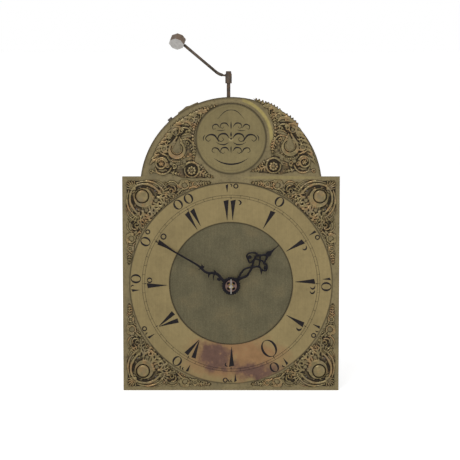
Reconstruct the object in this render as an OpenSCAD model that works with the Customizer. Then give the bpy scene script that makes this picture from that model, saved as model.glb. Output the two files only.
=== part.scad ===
// Arched brass dial and 30-hour movement of a longcase clock, out of its case.
// X is to the right as seen from the front, Y runs back from the dial, Z is up.
// z = 0 is the seat under the movement's plates, x = 0 is the hands' centre line,
// and y = 0 is the middle of the front plate.

/* [Dial plate] */
// Width of the dial plate
dial_w = 305; // [290:1:366]
// Height of the square part of the dial plate
dial_h = 304; // [290:1:362]
// Width of the arch where it springs from the shoulders
arch_w = 253; // [225:1:300]
// Rise of the arch above the shoulders
arch_rise = 111; // [95:1:126]
// Thickness of the dial plate
dial_t = 2.4; // [1.6:0.1:4]
// How far the hands' centre lies below the middle of the square
hand_drop = 1.5; // [0:0.5:6]
// Hole in the dial for the hands' pipes
dial_hole_r = 7; // [6.4:0.1:9]

/* [Dial furniture] */
// Outer diameter of the chapter ring
ring_od = 285; // [240:1:286]
// Inner diameter of the chapter ring
ring_id = 174; // [145:1:209]
// Thickness of the chapter ring
ring_t = 1.8; // [1:0.1:3]
// How far the ring's centre lies above the hands' centre
ring_up = 2.2; // [0:0.1:4]
// Diameter of the round boss in the arch
boss_d = 98; // [80:1:104]
// Height of the boss's centre above the shoulders
boss_rise = 53; // [50:1:58]
// Thickness of the cast spandrels
casting_t = 2.4; // [1.5:0.1:4]
// Room between a casting and the ring, boss or edge that it follows
casting_gap = 1; // [0.5:0.1:3]

/* [Movement plates] */
// Width of the plates
plate_w = 160; // [156:1:192]
// Height of the plates
plate_h = 176; // [172:1:211]
// Thickness of the plates
plate_t = 3.2; // [2.4:0.1:4]
// Room between the plates
plate_gap = 64; // [62:1:77]
// Room between the dial and the front plate
dial_gap = 40; // [38:1:48]
// Height of the hands' centre above the seat
hands_z = 110; // [106:1:120]
// Radius of the pillars at their ends
pillar_r = 8; // [6:0.1:8.6]
// Radius of the tapped holes for the seatboard bolts
seat_bolt_r = 2.1; // [1.5:0.1:3]

/* [Going train] */
// Teeth of the great wheel
great_n = 60; // [60]
// Module of the great wheel
great_m = 1.15; // [1.1:0.01:1.2]
// Module of the second wheel
second_m = 0.9; // [0.85:0.01:0.95]
// Tip radius of the escape wheel
escape_r = 18; // [16:0.1:19]

/* [Strike train] */
// Module of the strike great wheel
strike_m = 0.95; // [0.9:0.01:1]
// Module of the hoop wheel
hoop_m = 0.8; // [0.76:0.01:0.84]
// Module of the warning wheel
warning_m = 0.7; // [0.66:0.01:0.74]
// Number of hammer pins on the strike great wheel
hammer_pins = 13; // [13]

/* [Hammer] */
// Height of the top of the hammer's upright arbor
hammer_top = 410; // [400:1:420]
// Radius of the upright arbor
post_r = 2.6; // [2:0.1:3.2]
// Thickness of the hammer's arm
arm_t = 2.8; // [2:0.1:3.6]
// Width of the hammer's head across its sides
head_w = 20; // [16:0.5:24]
// Length of the hammer's head
head_l = 11; // [8:0.5:14]

/* [Hands] */
// Length of the minute hand from its centre
minute_l = 123; // [102:1:140]
// Length of the hour hand from its centre
hour_l = 88; // [73:1:106]
// Direction of the minute hand, clockwise from the top
minute_at = 300; // [0:1:360]
// Direction of the hour hand, clockwise from the top
hour_at = 49.7; // [0:0.1:360]
// Thickness of the hands
hand_t = 1.2; // [0.8:0.1:2]

/* [Fits] */
// Radial room of a pivot in its hole
pivot_fit = 0.05; // [0.02:0.01:0.1]
// Radial room between pieces that are fixed together
fixed_fit = 0.03; // [0.02:0.01:0.1]
// End shake of an arbor between the plates, at each end
shake = 0.3; // [0.1:0.05:0.5]
// Room left where one piece only now and then touches another
rest_gap = 0.4; // [0.3:0.05:1]

/* [Hidden] */
$fn = 64;

// Planes across the clock, as y values
front_face = -plate_t/2;
front_inner = plate_t/2;
back_inner = front_inner + plate_gap;
back_face = back_inner + plate_t;
dial_back = front_face - dial_gap;
dial_front = dial_back - dial_t;
ring_front = dial_front - ring_t;

// Heights and places on the dial
dial_bottom = hands_z + hand_drop - dial_h/2;
shoulder_z = dial_bottom + dial_h;
arch_r = (arch_w*arch_w/4 + arch_rise*arch_rise)/(2*arch_rise);
arch_z = shoulder_z + arch_rise - arch_r;
boss_z = shoulder_z + boss_rise;
boss_r = boss_d/2;
ring_r = ring_od/2;
ring_z = hands_z + ring_up;

// Tooth shape as shares of the pitch and of the module:
// half widths at pitch circle, root and tip, then addendum and dedendum
WHEEL = [0.24, 0.25, 0.09, 1.2, 1.6];
PINION = [0.19, 0.15, 0.09, 0.8, 1.45];
// Numbers of teeth and leaves
great_leaves = 8;
second_n = 56;
second_leaves = 7;
escape_n = 30;
motion_n = 48;
motion_leaves = 6;
hour_n = 72;
strike_n = 78;
hoop_leaves = 6;
hoop_n = 60;
warning_leaves = 6;
warning_n = 48;
fly_leaves = 6;
report_leaves = 8;
count_n = 48;
motion_m = 1;
hour_m = motion_n*2*motion_m/(hour_n + motion_leaves);
count_m = 1;

function pitch_r(n, m) = n*m/2;
function apart(n, leaves, m) = (n + leaves)*m/2;
function turned(r, a) = r*[cos(a), sin(a)];
function way(a, b) = atan2(b[1] - a[1], b[0] - a[0]);
// Where circles of radius ra and rb round a and b meet, on side s of the line from a to b
function meet(a, ra, b, rb, s) =
    let (d = norm(b - a), u = (b - a)/d, x = (d*d + ra*ra - rb*rb)/(2*d))
    a + x*u + s*sqrt(max(ra*ra - x*x, 0))*[-u[1], u[0]];
// Angle of a tooth on the next wheel so that it meshes, from this wheel's tooth angle
function mesh(at, n, dir, next_n) = dir + 180 + 360/next_n*(0.5 - (at - dir)*n/360);

// Places of the arbors, as [x, z]
centre = [0, hands_z];
motion_apart = apart(motion_n, motion_n, motion_m);
going_x = 33;
going = [going_x, hands_z - sqrt(motion_apart*motion_apart - going_x*going_x)];
escape = [0, hands_z + 14];
second = meet(going, apart(great_n, great_leaves, great_m),
    escape, apart(second_n, second_leaves, second_m), -1);
pallet = escape + [0, escape_r*sqrt(2)];
strike = [-40, hands_z - 38];
hoop = strike + turned(apart(strike_n, hoop_leaves, strike_m), 100);
warning = hoop + turned(apart(hoop_n, warning_leaves, hoop_m), 55);
fly = warning + turned(apart(warning_n, fly_leaves, warning_m), 110);
count = strike + turned(apart(count_n, report_leaves, count_m), 55);
detent = [-60, hands_z + 38];
lifting = [-60, hands_z + 10];
lifter = strike + turned(46, 40);
hammer = [-3.5, -22];
pillar_in = 9;
pillar_at = [for (x = [-1, 1], z = [12, hands_z + 30]) [x*(plate_w/2 - pillar_in), z]];
foot_in = 8;
feet_at = concat([for (x = [-1, 1]) [x*(plate_w/2 - 30), 14]],
    [for (x = [-1, 1]) [x*(plate_w/2 - foot_in), plate_h - foot_in]]);

// Tooth angles that mesh at rest
second_leaf_at = mesh(0, great_n, way(going, second), great_leaves);
escape_leaf_at = mesh(0, second_n, way(second, escape), second_leaves);
drive_at = mesh(0, motion_n, way(centre, going), motion_n);
hour_tooth_at = mesh(0, motion_leaves, way(going, centre), hour_n);
hoop_leaf_at = mesh(0, strike_n, way(strike, hoop), hoop_leaves);
warning_leaf_at = mesh(0, hoop_n, way(hoop, warning), warning_leaves);
fly_leaf_at = mesh(0, warning_n, way(warning, fly), fly_leaves);
count_tooth_at = mesh(0, report_leaves, way(strike, count), count_n);

// Pivots and arbors
pivot_r = 0.9;
arbor_r = 1.6;
great_pivot_r = 1.5;
great_arbor_r = 3;
stud_r = 2.4;
foot_r = 3.5;
foot_tenon_r = 2.2;
pillar_tenon_r = 3;
pin_r = 0.9;

// Flat shape from y to y + t, drawn as it is seen from the front
module flat(y, t) translate([0, y + t, 0]) rotate([90, 0, 0]) linear_extrude(t) children();
// Joins crossing strokes into one outline with coarse arcs
merge = 0.01;
module joined() offset(delta = merge) children();
module at(p) translate([p[0], 0, p[1]]) children();
module rod(y0, y1, r) flat(y0, y1 - y0) circle(r);
module bar(a, b, wa, wb) {
    d = way(a, b);
    polygon([a + turned(wa/2, d + 90), a + turned(wa/2, d - 90),
        b + turned(wb/2, d - 90), b + turned(wb/2, d + 90)]);
    translate(a) circle(wa/2);
    translate(b) circle(wb/2);
}
// Arc stroke of radius r and width w round c, from angle a0 to a1
stroke_end_sides = 10;
module arc(c, r, w, a0, a1) translate(c) {
    intersection() {
        difference() { circle(r + w/2); circle(r - w/2); }
        polygon([[0, 0], for (k = [0:4]) turned(2*r + w, a0 + k*(a1 - a0)/4)]);
    }
    translate(turned(r, a0)) circle(w/2, $fn = min($fn, stroke_end_sides));
    translate(turned(r, a1)) circle(w/2, $fn = min($fn, stroke_end_sides));
}
function teeth(n, m, t, at) = [for (i = [0:n - 1], p = [[-t[4], -t[1]], [0, -t[0]], [t[3], -t[2]],
    [t[3], t[2]], [0, t[0]], [-t[4], t[1]]]) turned(pitch_r(n, m) + p[0]*m, at + 360/n*(i + p[1]))];
function root_r(n, m) = pitch_r(n, m) - WHEEL[4]*m;
function rim_w(n, m) = 0.075*pitch_r(n, m) + 1.2;
module wheel(n, m, bore, hub, arms, at = 0) {
    rim = root_r(n, m) - rim_w(n, m);
    difference() {
        polygon(teeth(n, m, WHEEL, at));
        difference() {
            circle(rim);
            circle(hub);
            for (i = [0:arms - 1]) rotate(i*360/arms + 45) polygon([[0, -hub*0.42], [rim, -hub*0.22],
                [rim + 2, -hub*0.22], [rim + 2, hub*0.22], [rim, hub*0.22], [0, hub*0.42]]);
        }
        circle(bore);
    }
}
module pinion(n, m, at = 0) polygon(teeth(n, m, PINION, at));
// Arbor between the plates, with pivots that run on to front_end and back_end
pivot_out = 0.3;
module arbor(r, front_r = pivot_r, back_r = pivot_r, front_end = front_face - pivot_out,
        back_end = back_face + pivot_out) {
    rod(front_inner + shake, back_inner - shake, r);
    rod(front_end, front_inner + shake + 0.01, front_r);
    rod(back_inner - shake - 0.01, back_end, back_r);
}

// Cast spandrels: lobes along both arms, pierced and overlaid with scrolls
casting_base = casting_t*0.55;
edge_gap = 3;
scroll_w = 1.8;
cabochon = [27.5, 26.8];
lobe_end = 23;
corner_lobes = [0.36, 0.52, 0.65, 0.77, 0.86, 0.93, 1];
corner_screws = [[46, 20], [20, 46]];
arch_lobes = [123, 131, 140, 150, 162, 176, 192];
screw_r = 1.2;
ring_room = ring_r + casting_gap;
lobe_over = 1.03;
// Lobe k of an arm along an edge: the ring's centre lies depth in from that edge and along from the corner
function corner_lobe(k, depth, along) =
    let (s = corner_lobes[k]*(along - lobe_end),
        g = depth - sqrt(ring_room*ring_room - pow(along - s, 2)) - edge_gap)
    [s, edge_gap + g/2, g/2*lobe_over];
function arch_lobe(a) =
    let (d = boss_z - arch_z, m = arch_r - 5, lo = boss_r + 2,
        hi = sqrt(m*m - pow(d*cos(a), 2)) - d*sin(a))
    [(lo + hi)/2*cos(a), boss_z + (lo + hi)/2*sin(a), (hi - lo)/2];
function flip(p) = [p[1], p[0]];

// One arm of a corner casting, along its first axis
module arm_lobes(depth, along) for (k = [0:len(corner_lobes) - 1]) {
    c = corner_lobe(k, depth, along);
    translate([c[0], c[1]]) circle(c[2]);
}
module arm_piercings(depth, along) for (k = [1:len(corner_lobes) - 3]) {
    c = corner_lobe(k, depth, along);
    arc([c[0], c[1]], c[2]*0.53, c[2]*0.15, 170, 330);
}
module arm_scrolls(depth, along) for (k = [1:len(corner_lobes) - 1]) {
    c = corner_lobe(k, depth, along);
    w = min(scroll_w, c[2]*0.3);
    arc([c[0], c[1]], c[2]*0.72, w, 150, 350);
    arc([c[0], c[1]], c[2]*0.34, w*0.7, -30, 200);
}
module across() mirror([1, -1]) children();
module corner_casting(drop) {
    $fn = 16;
    half_w = dial_w/2;
    end_a = asin(lobe_end/ring_room) + 1;
    difference() {
        union() {
            flat(-casting_base, casting_base) joined() difference() {
                union() {
                    translate(cabochon) circle(20, $fn = 40);
                    arm_lobes(drop, half_w);
                    across() arm_lobes(half_w, drop);
                    arc([half_w, drop], ring_room + scroll_w/2, scroll_w*2, 180 + end_a, 270 - end_a,
                        $fn = 128);
                }
                translate([half_w, drop]) circle(ring_room, $fn = 128);
                arc(cabochon, 13.8, 2.2, 60, 210);
                for (p = [[46, 33], [34, 46]]) translate(p) circle(3.4);
                arm_piercings(drop, half_w);
                across() arm_piercings(half_w, drop);
            }
            flat(-casting_t, casting_t) joined() difference() {
                union() {
                    arc(cabochon, 17, scroll_w*1.3, -60, 150);
                    arc(cabochon, 17, scroll_w*1.3, 210, 290);
                    arc(cabochon, 10.5, scroll_w, 20, 250);
                    arm_scrolls(drop, half_w);
                    across() arm_scrolls(half_w, drop);
                }
                translate([half_w, drop]) circle(ring_room, $fn = 128);
            }
            translate([cabochon[0], 0, cabochon[1]]) rotate([90, 0, 0]) intersection() {
                cylinder(h = casting_t*1.5, r = 8.5, $fn = 32);
                translate([0, 0, casting_t*1.5 - 14]) sphere(14, $fn = 32);
            }
        }
        for (p = corner_screws) at(p) rod(-casting_t*0.75, 1, screw_r + fixed_fit);
    }
}
module in_corner(right, top) translate([right*dial_w/2, dial_front, top > 0 ? shoulder_z : dial_bottom])
    mirror([right > 0 ? 1 : 0, 0, 0]) mirror([0, 0, top > 0 ? 1 : 0]) children();
top_drop = shoulder_z - ring_z;
bottom_drop = ring_z - dial_bottom;

arch_screws = [[-77, 322], [-88, 277]];
arch_rosettes = [[-98.5, 281.3, 9], [-57, 271.8, 10.5]];
cartouche = [-75.4, 302];
module arch_casting($fn = 18) difference() {
    union() {
        flat(dial_front - casting_base, casting_base) joined() difference() {
            intersection() {
                union() {
                    for (a = arch_lobes) {
                        c = arch_lobe(a);
                        translate([c[0], c[1]]) circle(c[2]);
                    }
                    for (c = arch_rosettes) translate([c[0], c[1]]) circle(c[2] + 1);
                    arc([0, boss_z], boss_r + casting_gap + scroll_w, scroll_w*2, 118, 200, $fn = 96);
                }
                translate([0, arch_z]) circle(arch_r - 5, $fn = 128);
                translate([-arch_w, shoulder_z - 2]) square([arch_w - 24, arch_w]);
            }
            translate([0, boss_z]) circle(boss_r + casting_gap, $fn = 96);
            translate(cartouche) circle(6);
            arc(cartouche, 13, 2.2, 150, 300);
            arc(cartouche, 13, 2.2, -20, 80);
            for (k = [1:4]) {
                c = arch_lobe(arch_lobes[k]);
                arc([c[0], c[1]], c[2]*0.5, c[2]*0.16, 90, 270);
            }
        }
        flat(dial_front - casting_t, casting_t) joined() difference() {
            union() {
                arc(cartouche, 9, scroll_w*1.2, 100, 420);
                arc(cartouche, 17, scroll_w, 120, 330);
                for (c = arch_rosettes) {
                    arc([c[0], c[1]], c[2]*0.9, scroll_w, 160, 420);
                    arc([c[0], c[1]], c[2]*0.42, scroll_w, 0, 270);
                }
                for (k = [0:4]) {
                    c = arch_lobe(arch_lobes[k]);
                    arc([c[0], c[1]], c[2]*0.75, scroll_w*0.7, 60, 300);
                }
            }
            translate([0, boss_z]) circle(boss_r + casting_gap, $fn = 96);
        }
    }
    for (p = arch_screws) at(p) rod(dial_front - casting_t*0.75, dial_front + 1, screw_r + fixed_fit);
}
// The right-hand arch casting sits a little off its place
slip = [6.9, 4.1];
slip_turn = 5;
module slipped() translate([-cartouche[0] + slip[0], 0, cartouche[1] + slip[1]]) rotate([0, slip_turn, 0])
    mirror([1, 0, 0]) translate([-cartouche[0], 0, -cartouche[1]]) children();
module spandrel_screw() {
    difference() {
        rod(0, 1.6, 2.4);
        flat(1, 1) square([6, 0.6], center = true);
    }
    rod(-dial_t - casting_t*0.7, 0.01, screw_r);
}
module screw_places() {
    for (p = arch_screws) at(p) translate([0, dial_back, 0]) children();
    slipped() for (p = arch_screws) at(p) translate([0, dial_back, 0]) children();
    for (right = [-1, 1], top = [-1, 1]) in_corner(right, top)
        for (p = corner_screws) at(p) translate([0, dial_t, 0]) children();
}

module dial_outline() {
    translate([-dial_w/2, dial_bottom]) square([dial_w, dial_h]);
    intersection() {
        translate([0, arch_z]) circle(arch_r);
        translate([-arch_w, shoulder_z - 1]) square([2*arch_w, arch_w]);
    }
}
module dial_plate() color("darkkhaki") difference() {
    flat(dial_front, dial_t) difference() {
        dial_outline();
        translate(centre) circle(dial_hole_r);
        for (p = feet_at) translate(p) circle(foot_tenon_r + fixed_fit);
    }
    screw_places() rod(-dial_t - 1, 1, screw_r + fixed_fit);
}
module chapter_ring() color("burlywood") flat(ring_front, ring_t) translate([0, ring_z]) difference() {
    circle(ring_r, $fn = 128);
    circle(ring_id/2, $fn = 128);
}
module arch_boss() color("khaki") translate([0, dial_front, boss_z]) rotate([90, 0, 0]) rotate_extrude() {
    square([boss_r - 3, 1.6]);
    translate([boss_r - 4, 0]) square([4, 2.6]);
    intersection() {
        translate([0, 3.4 - 420]) circle(420, $fn = 900);
        square([boss_r - 3, 4]);
    }
}
module spandrel_top_left() color("goldenrod") in_corner(-1, 1) corner_casting(top_drop);
module spandrel_top_right() color("goldenrod") in_corner(1, 1) corner_casting(top_drop);
module spandrel_bottom_left() color("goldenrod") in_corner(-1, -1) corner_casting(bottom_drop);
module spandrel_bottom_right() color("goldenrod") in_corner(1, -1) corner_casting(bottom_drop);
module arch_spandrel_left() color("goldenrod") arch_casting();
module arch_spandrel_right() color("goldenrod") slipped() arch_casting();
module spandrel_screws() color("dimgray") screw_places() spandrel_screw();

// Dial feet: shouldered posts, tenoned through the front plate and pinned behind it
pin_room = 2.4;
module dial_feet() color("tan") for (p = feet_at) at(p) difference() {
    union() {
        rod(dial_front, dial_back + 0.01, foot_tenon_r);
        rod(dial_back, dial_back + 3, foot_r + 1.5);
        rod(dial_back + 2, front_face, foot_r);
        rod(front_face - 0.01, front_inner + pin_room + 2.6, foot_tenon_r);
    }
    pin_hole(front_inner + pin_room/2);
}
module pin_hole(y) translate([0, y, -8]) cylinder(h = 16, r = pin_r + fixed_fit);
module taper_pins() color("silver") {
    for (p = feet_at) at(p) translate([0, front_inner + pin_room/2, -6]) cylinder(h = 13, r = pin_r);
    for (p = pillar_at) at(p) translate([0, front_face - pin_room/2, -6]) cylinder(h = 13, r = pin_r);
}

// Brass plate and steel strap behind the arch, with the screw at its left end
backing_t = 2;
strap_t = 2.4;
strap_end = [-87, 345];
strap_tilt = 41;
module arch_backing_plate() color("peru") flat(dial_back, backing_t) difference() {
    intersection() {
        translate([0, arch_z]) circle(arch_r + 1.5);
        polygon([[-74, shoulder_z + 30], [-74, arch_z + arch_r], [-46, arch_z + arch_r],
            [-46, shoulder_z + 84], [24, shoulder_z + 84], [24, shoulder_z + 56],
            [-46, shoulder_z + 56], [-52, shoulder_z + 30]]);
    }
    for (p = concat(arch_screws)) translate(p) circle(3);
}
strap_back = dial_back + backing_t + strap_t;
bearing_z = shoulder_z + 64;
bearing_h = 10;
module hammer_strap() color("slategray") {
    difference() {
        union() {
            flat(dial_back + backing_t, strap_t) {
                bar([-62, bearing_z + 28], [-62, bearing_z + 6], 20, 16);
                bar([-62, bearing_z + 6], [10, bearing_z + 5], 14, 12);
            }
            translate([hammer[0] - 5, strap_back - 0.01, bearing_z])
                cube([10, hammer[1] - strap_back, bearing_h]);
            translate([hammer[0], hammer[1], bearing_z]) cylinder(h = bearing_h, r = 5);
            translate([strap_end[0], dial_back + backing_t, strap_end[1]]) rotate([0, -strap_tilt, 0])
                translate([-4, 0, -8]) cube([22, 9, 3]);
        }
        translate([hammer[0], hammer[1], bearing_z - 1])
            cylinder(h = bearing_h + 2, r = post_r + pivot_fit);
        strap_screw_place() translate([0, 0, -20]) cylinder(h = 40, r = 1.8 + fixed_fit);
    }
}
module strap_screw_place() translate([strap_end[0], dial_back + backing_t + 4.5, strap_end[1]])
    rotate([0, -strap_tilt, 0]) children();
module strap_washer() color("gray") strap_screw_place() translate([0, 0, -5]) difference() {
    cylinder(h = 1.2, r = 4.6);
    translate([0, 0, -1]) cylinder(h = 4, r = 1.8 + fixed_fit);
}
module strap_screw() color("dimgray") strap_screw_place() translate([0, 0, -3.8]) {
    difference() {
        cylinder(h = 3, r = 3.6);
        translate([-5, -0.5, 1.8]) cube([10, 1, 3]);
    }
    translate([0, 0, -9]) cylinder(h = 9.01, r = 1.8);
}

// Plates, with a hole for each arbor, stud, tenon and screw
cock_screw_r = 1.8;
back_cock_screws = [[-18, pallet[1] + 17], [18, pallet[1] + 17]];
hammer_cock_screws = [[hammer[0] - 8, plate_h - 12], [hammer[0] + 8, plate_h - 12]];
// Rest place of the lifting piece's warning block, then the ends and width of its slot
warning_slot = [-44, hands_z + 25];
slot_foot = [-1.1, 0];
slot_top = [-1.1, 2.2];
slot_w = 9.6;
module plate_outline() translate([-plate_w/2, 0]) square([plate_w, plate_h]);
module front_plate() color("goldenrod") flat(front_face, plate_t) difference() {
    plate_outline();
    for (p = [second, escape, pallet, hoop, warning, fly, detent, lifter, strike])
        translate(p) circle(pivot_r + pivot_fit);
    translate(going) circle(great_pivot_r + pivot_fit);
    translate(centre) circle(stud_r + fixed_fit);
    translate(lifting) circle(stud_r + fixed_fit);
    for (p = pillar_at) translate(p) circle(pillar_tenon_r + fixed_fit);
    for (p = feet_at) translate(p) circle(foot_tenon_r + fixed_fit);
    for (p = hammer_cock_screws) translate(p) circle(cock_screw_r + fixed_fit);
    translate(warning_slot) bar(slot_foot, slot_top, slot_w, slot_w);
}
module back_plate() color("goldenrod") flat(back_inner, plate_t) difference() {
    plate_outline();
    for (p = [second, escape, hoop, warning, fly, detent, lifter, going])
        translate(p) circle(pivot_r + pivot_fit);
    translate(strike) circle(great_pivot_r + pivot_fit);
    translate(pallet) circle(5);
    translate(count) circle(stud_r + fixed_fit);
    for (p = pillar_at) translate(p) circle(pillar_tenon_r + fixed_fit);
    for (p = back_cock_screws) translate(p) circle(cock_screw_r + fixed_fit);
}
knop_y = (front_inner + back_inner)/2;
knop_half = 6;
knop_r = pillar_r + 1;
neck_r = 4.5;
neck_half = (plate_gap/2 - 2*knop_half)/2;
neck_curve = (neck_half*neck_half + pow(knop_r - neck_r, 2))/(2*(knop_r - neck_r));
seat_flat = 4;
module pillars() color("darkgoldenrod") for (p = pillar_at) difference() {
    at(p) {
        translate([0, front_inner, 0]) rotate([-90, 0, 0]) rotate_extrude() difference() {
            square([knop_r, plate_gap]);
            for (y = [knop_half + neck_half, plate_gap - knop_half - neck_half])
                translate([neck_r + neck_curve, y]) circle(neck_curve);
        }
        rod(front_face - pin_room - 2.6, front_inner + 0.01, pillar_tenon_r);
        rod(back_inner - 0.01, back_face, pillar_tenon_r);
    }
    at(p) pin_hole(front_face - pin_room/2);
    if (p[1] < 30) {
        translate([p[0] - 20, knop_y - plate_gap/2, -1]) cube([40, plate_gap, 1 + seat_flat]);
        translate([p[0], knop_y, -1]) cylinder(h = p[1], r = seat_bolt_r);
    }
}

// Cocks and their screws
cock_t = 3.2;
foot_h = 24;
arbor_out = back_face + 26;
module back_cock() color("goldenrod") difference() {
    union() {
        flat(back_face, cock_t) bar(back_cock_screws[0], back_cock_screws[1], 12, 12);
        for (x = [-8, 8]) translate([x - 1.6, back_face, pallet[1] + 11])
            cube([3.2, arbor_out - back_face, 12]);
        flat(arbor_out - cock_t, cock_t) {
            bar(pallet, pallet + [0, 20], 9, 19.2);
            bar(pallet + [0, 20], pallet + [0, 34], 12, 7);
        }
        translate([-4, arbor_out - 0.01, pallet[1] + 28]) cube([8, 8, 6]);
    }
    at(pallet) rod(arbor_out - cock_t - 1, arbor_out + 1, pivot_r + pivot_fit);
    translate([-0.4, arbor_out + 1, pallet[1] + 27]) cube([0.8, 8, 8]);
    for (p = back_cock_screws) at(p) rod(back_face - 1, back_face + 9, cock_screw_r + fixed_fit);
}
// Cheese-head screw, head up at y = 0, pointing forwards
module cock_screw(grip) {
    difference() {
        rod(0, 2.4, 3.4);
        flat(1.4, 2) square([8, 0.8], center = true);
    }
    rod(-grip, 0.01, cock_screw_r);
}
module cock_screws() color("dimgray") {
    for (p = back_cock_screws) at(p) translate([0, back_face + cock_t, 0]) cock_screw(cock_t + plate_t);
    for (p = hammer_cock_screws) at(p) translate([0, front_face - cock_t, 0]) mirror([0, 1, 0])
        cock_screw(cock_t + plate_t);
}
shelf_z = plate_h + 2;
module hammer_cock() color("goldenrod") difference() {
    union() {
        flat(front_face - cock_t, cock_t) {
            bar(hammer_cock_screws[0], hammer_cock_screws[1], 12, 12);
            translate([hammer[0] - 8, plate_h - 12]) square([16, shelf_z - plate_h + 12 + 4]);
        }
        translate([hammer[0] - 5, hammer[1], shelf_z])
            cube([10, front_face - cock_t - hammer[1] + 0.01, 4]);
        translate([hammer[0], hammer[1], shelf_z]) cylinder(h = 4, r = 5);
    }
    translate([hammer[0], hammer[1], shelf_z - 1]) cylinder(h = 6, r = great_pivot_r + pivot_fit);
    for (p = hammer_cock_screws) at(p)
        rod(front_face - cock_t - 1, front_face + 1, cock_screw_r + fixed_fit);
}
// Studs riveted into the plates: for the hands, the lifting piece and the count wheel
stud_collar = 5;
stud_head = 1.2;
module studs() color("silver") {
    at(centre) difference() {
        union() {
            rod(front_face, front_inner, stud_r);
            rod(front_face - 1.6, front_face, stud_collar);
            rod(washer_front - 4.5, front_face, stud_r);
        }
        translate([0, pin_y, -8]) cylinder(h = 16, r = pin_r + fixed_fit);
    }
    at(lifting) {
        rod(lever_y - stud_head - shake, front_inner, stud_r);
        rod(lever_y + lever_t + shake, front_face, stud_collar - 1);
        rod(lever_y - stud_head - shake, lever_y - shake, stud_r + 1.2);
    }
    at(count) {
        rod(back_inner, disc_y + thin_t + stud_head + shake, stud_r);
        rod(back_face, count_y - shake, stud_collar - 1);
        rod(disc_y + thin_t + shake, disc_y + thin_t + stud_head + shake, stud_r + 1.2);
    }
}

// Wheels: y of each wheel, and its thickness
wheel_t = 2.2;
thin_t = 1.6;
great_y = 12;
sprocket_y = 24;
sprocket_w = 14;
second_y = 46;
escape_y = 30;
strike_y = 43;
hoop_y = 54;
warning_y = 10;
count_y = back_face + 3;
seat_r = 4;
module seat(y, t, flange = 3) {
    rod(y - flange, y, seat_r + 1.6);
    rod(y - 0.01, y + t, seat_r);
}
module mounted_wheel(n, m, y, t, arms, at_angle = 0) flat(y, t)
    wheel(n, m, seat_r + fixed_fit, seat_r + 3.5, arms, at_angle);

module going_great_arbor() color("silver") at(going) difference() {
    union() {
        arbor(great_arbor_r, front_r = great_pivot_r, front_end = front_face - 20);
        seat(great_y, wheel_t + 0.3);
    }
    translate([0, front_face - 18.6, -4]) cylinder(h = 8, r = 0.5);
}
module going_great_wheel() color("goldenrod") at(going) mounted_wheel(great_n, great_m, great_y,
    wheel_t, 4);
sprocket_r = 20;
module sprocket_body(cheek) {
    translate([0, sprocket_y, 0]) rotate([-90, 0, 0]) rotate_extrude() difference() {
        translate([great_arbor_r + fixed_fit, 0]) square([cheek - great_arbor_r, sprocket_w]);
        polygon([[sprocket_r - 3, sprocket_w/2 - 1.5], [cheek + 1, 1.6], [cheek + 1, sprocket_w - 1.6],
            [sprocket_r - 3, sprocket_w/2 + 1.5]]);
    }
    for (k = [0:9]) translate([0, sprocket_y + sprocket_w/2, 0]) rotate([0, k*36, 0])
        translate([0, 0, sprocket_r - 5]) cylinder(h = 7, r1 = 1.3, r2 = 0.4, $fn = 16);
}
module going_sprocket() color("darkgoldenrod") at(going) sprocket_body(sprocket_r + 4);
module second_arbor() color("silver") at(second) {
    difference() { arbor(arbor_r); rod(great_y - 3, great_y + 5, 8); }
    flat(great_y - 3.01, 8.02) pinion(great_leaves, great_m, second_leaf_at);
    seat(second_y, thin_t);
}
module second_wheel() color("goldenrod") at(second) mounted_wheel(second_n, second_m, second_y,
    thin_t, 4);
module escape_arbor() color("silver") at(escape) {
    difference() { arbor(arbor_r); rod(second_y - 3, second_y + 5, 8); }
    flat(second_y - 3.01, 8.02) pinion(second_leaves, second_m, escape_leaf_at);
    seat(escape_y, thin_t);
}
module escape_wheel() color("khaki") at(escape) flat(escape_y, thin_t) difference() {
    polygon([for (i = [0:escape_n - 1], p = [[0.82, 0], [1, 0.1], [1, 0.17], [0.82, 0.42]])
        turned(p[0]*escape_r, (i + p[1])*360/escape_n)]);
    difference() {
        circle(escape_r*0.7);
        circle(seat_r + 2.5);
        for (a = [0, 90]) rotate(a) square([2*escape_r, 2], center = true);
    }
    circle(seat_r + fixed_fit);
}
module pallet_arbor() color("silver") at(pallet) {
    arbor(arbor_r, back_r = arbor_r, back_end = arbor_out - cock_t - shake);
    rod(arbor_out - cock_t - shake - 0.01, arbor_out + pivot_out, pivot_r);
    rod(escape_y - 4, escape_y - 1, seat_r);
    rod(escape_y - 1.01, escape_y + thin_t + 1, arbor_r + 0.8);
    rod(crutch_y - 3, crutch_y, 3.4);
}
pallet_reach = escape_r/sqrt(2);
pallet_side = [[4.5, 3.4], [pallet_reach + 2.2, -pallet_reach*0.5],
    [pallet_reach + 3, -pallet_reach + 1.5], [pallet_reach + 0.9, -pallet_reach + 0.6],
    [pallet_reach - 0.6, -pallet_reach*0.55], [3, -2.4]];
module pallets() color("lightsteelblue") at(pallet) difference() {
    flat(escape_y - 1, thin_t + 2) joined() {
        circle(5.5);
        polygon(concat([for (p = pallet_side) p], [for (k = [len(pallet_side) - 1:-1:0])
            [-pallet_side[k][0], pallet_side[k][1]]]));
    }
    rod(escape_y - 2, escape_y + thin_t + 2, arbor_r + 0.8 + fixed_fit);
}
crutch_y = back_face + 16;
crutch_l = 72;
module crutch() color("silver") at(pallet) {
    flat(crutch_y, 2) difference() {
        union() {
            circle(4.5);
            bar([0, 0], [0, -crutch_l], 3.2, 2.6);
            translate([0, -crutch_l]) square([10, 4], center = true);
        }
        circle(arbor_r + fixed_fit);
    }
    for (x = [-1, 1]) translate([x*3.9 - 1, crutch_y + 0.01, -crutch_l - 2]) cube([2, 16, 4]);
}

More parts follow.
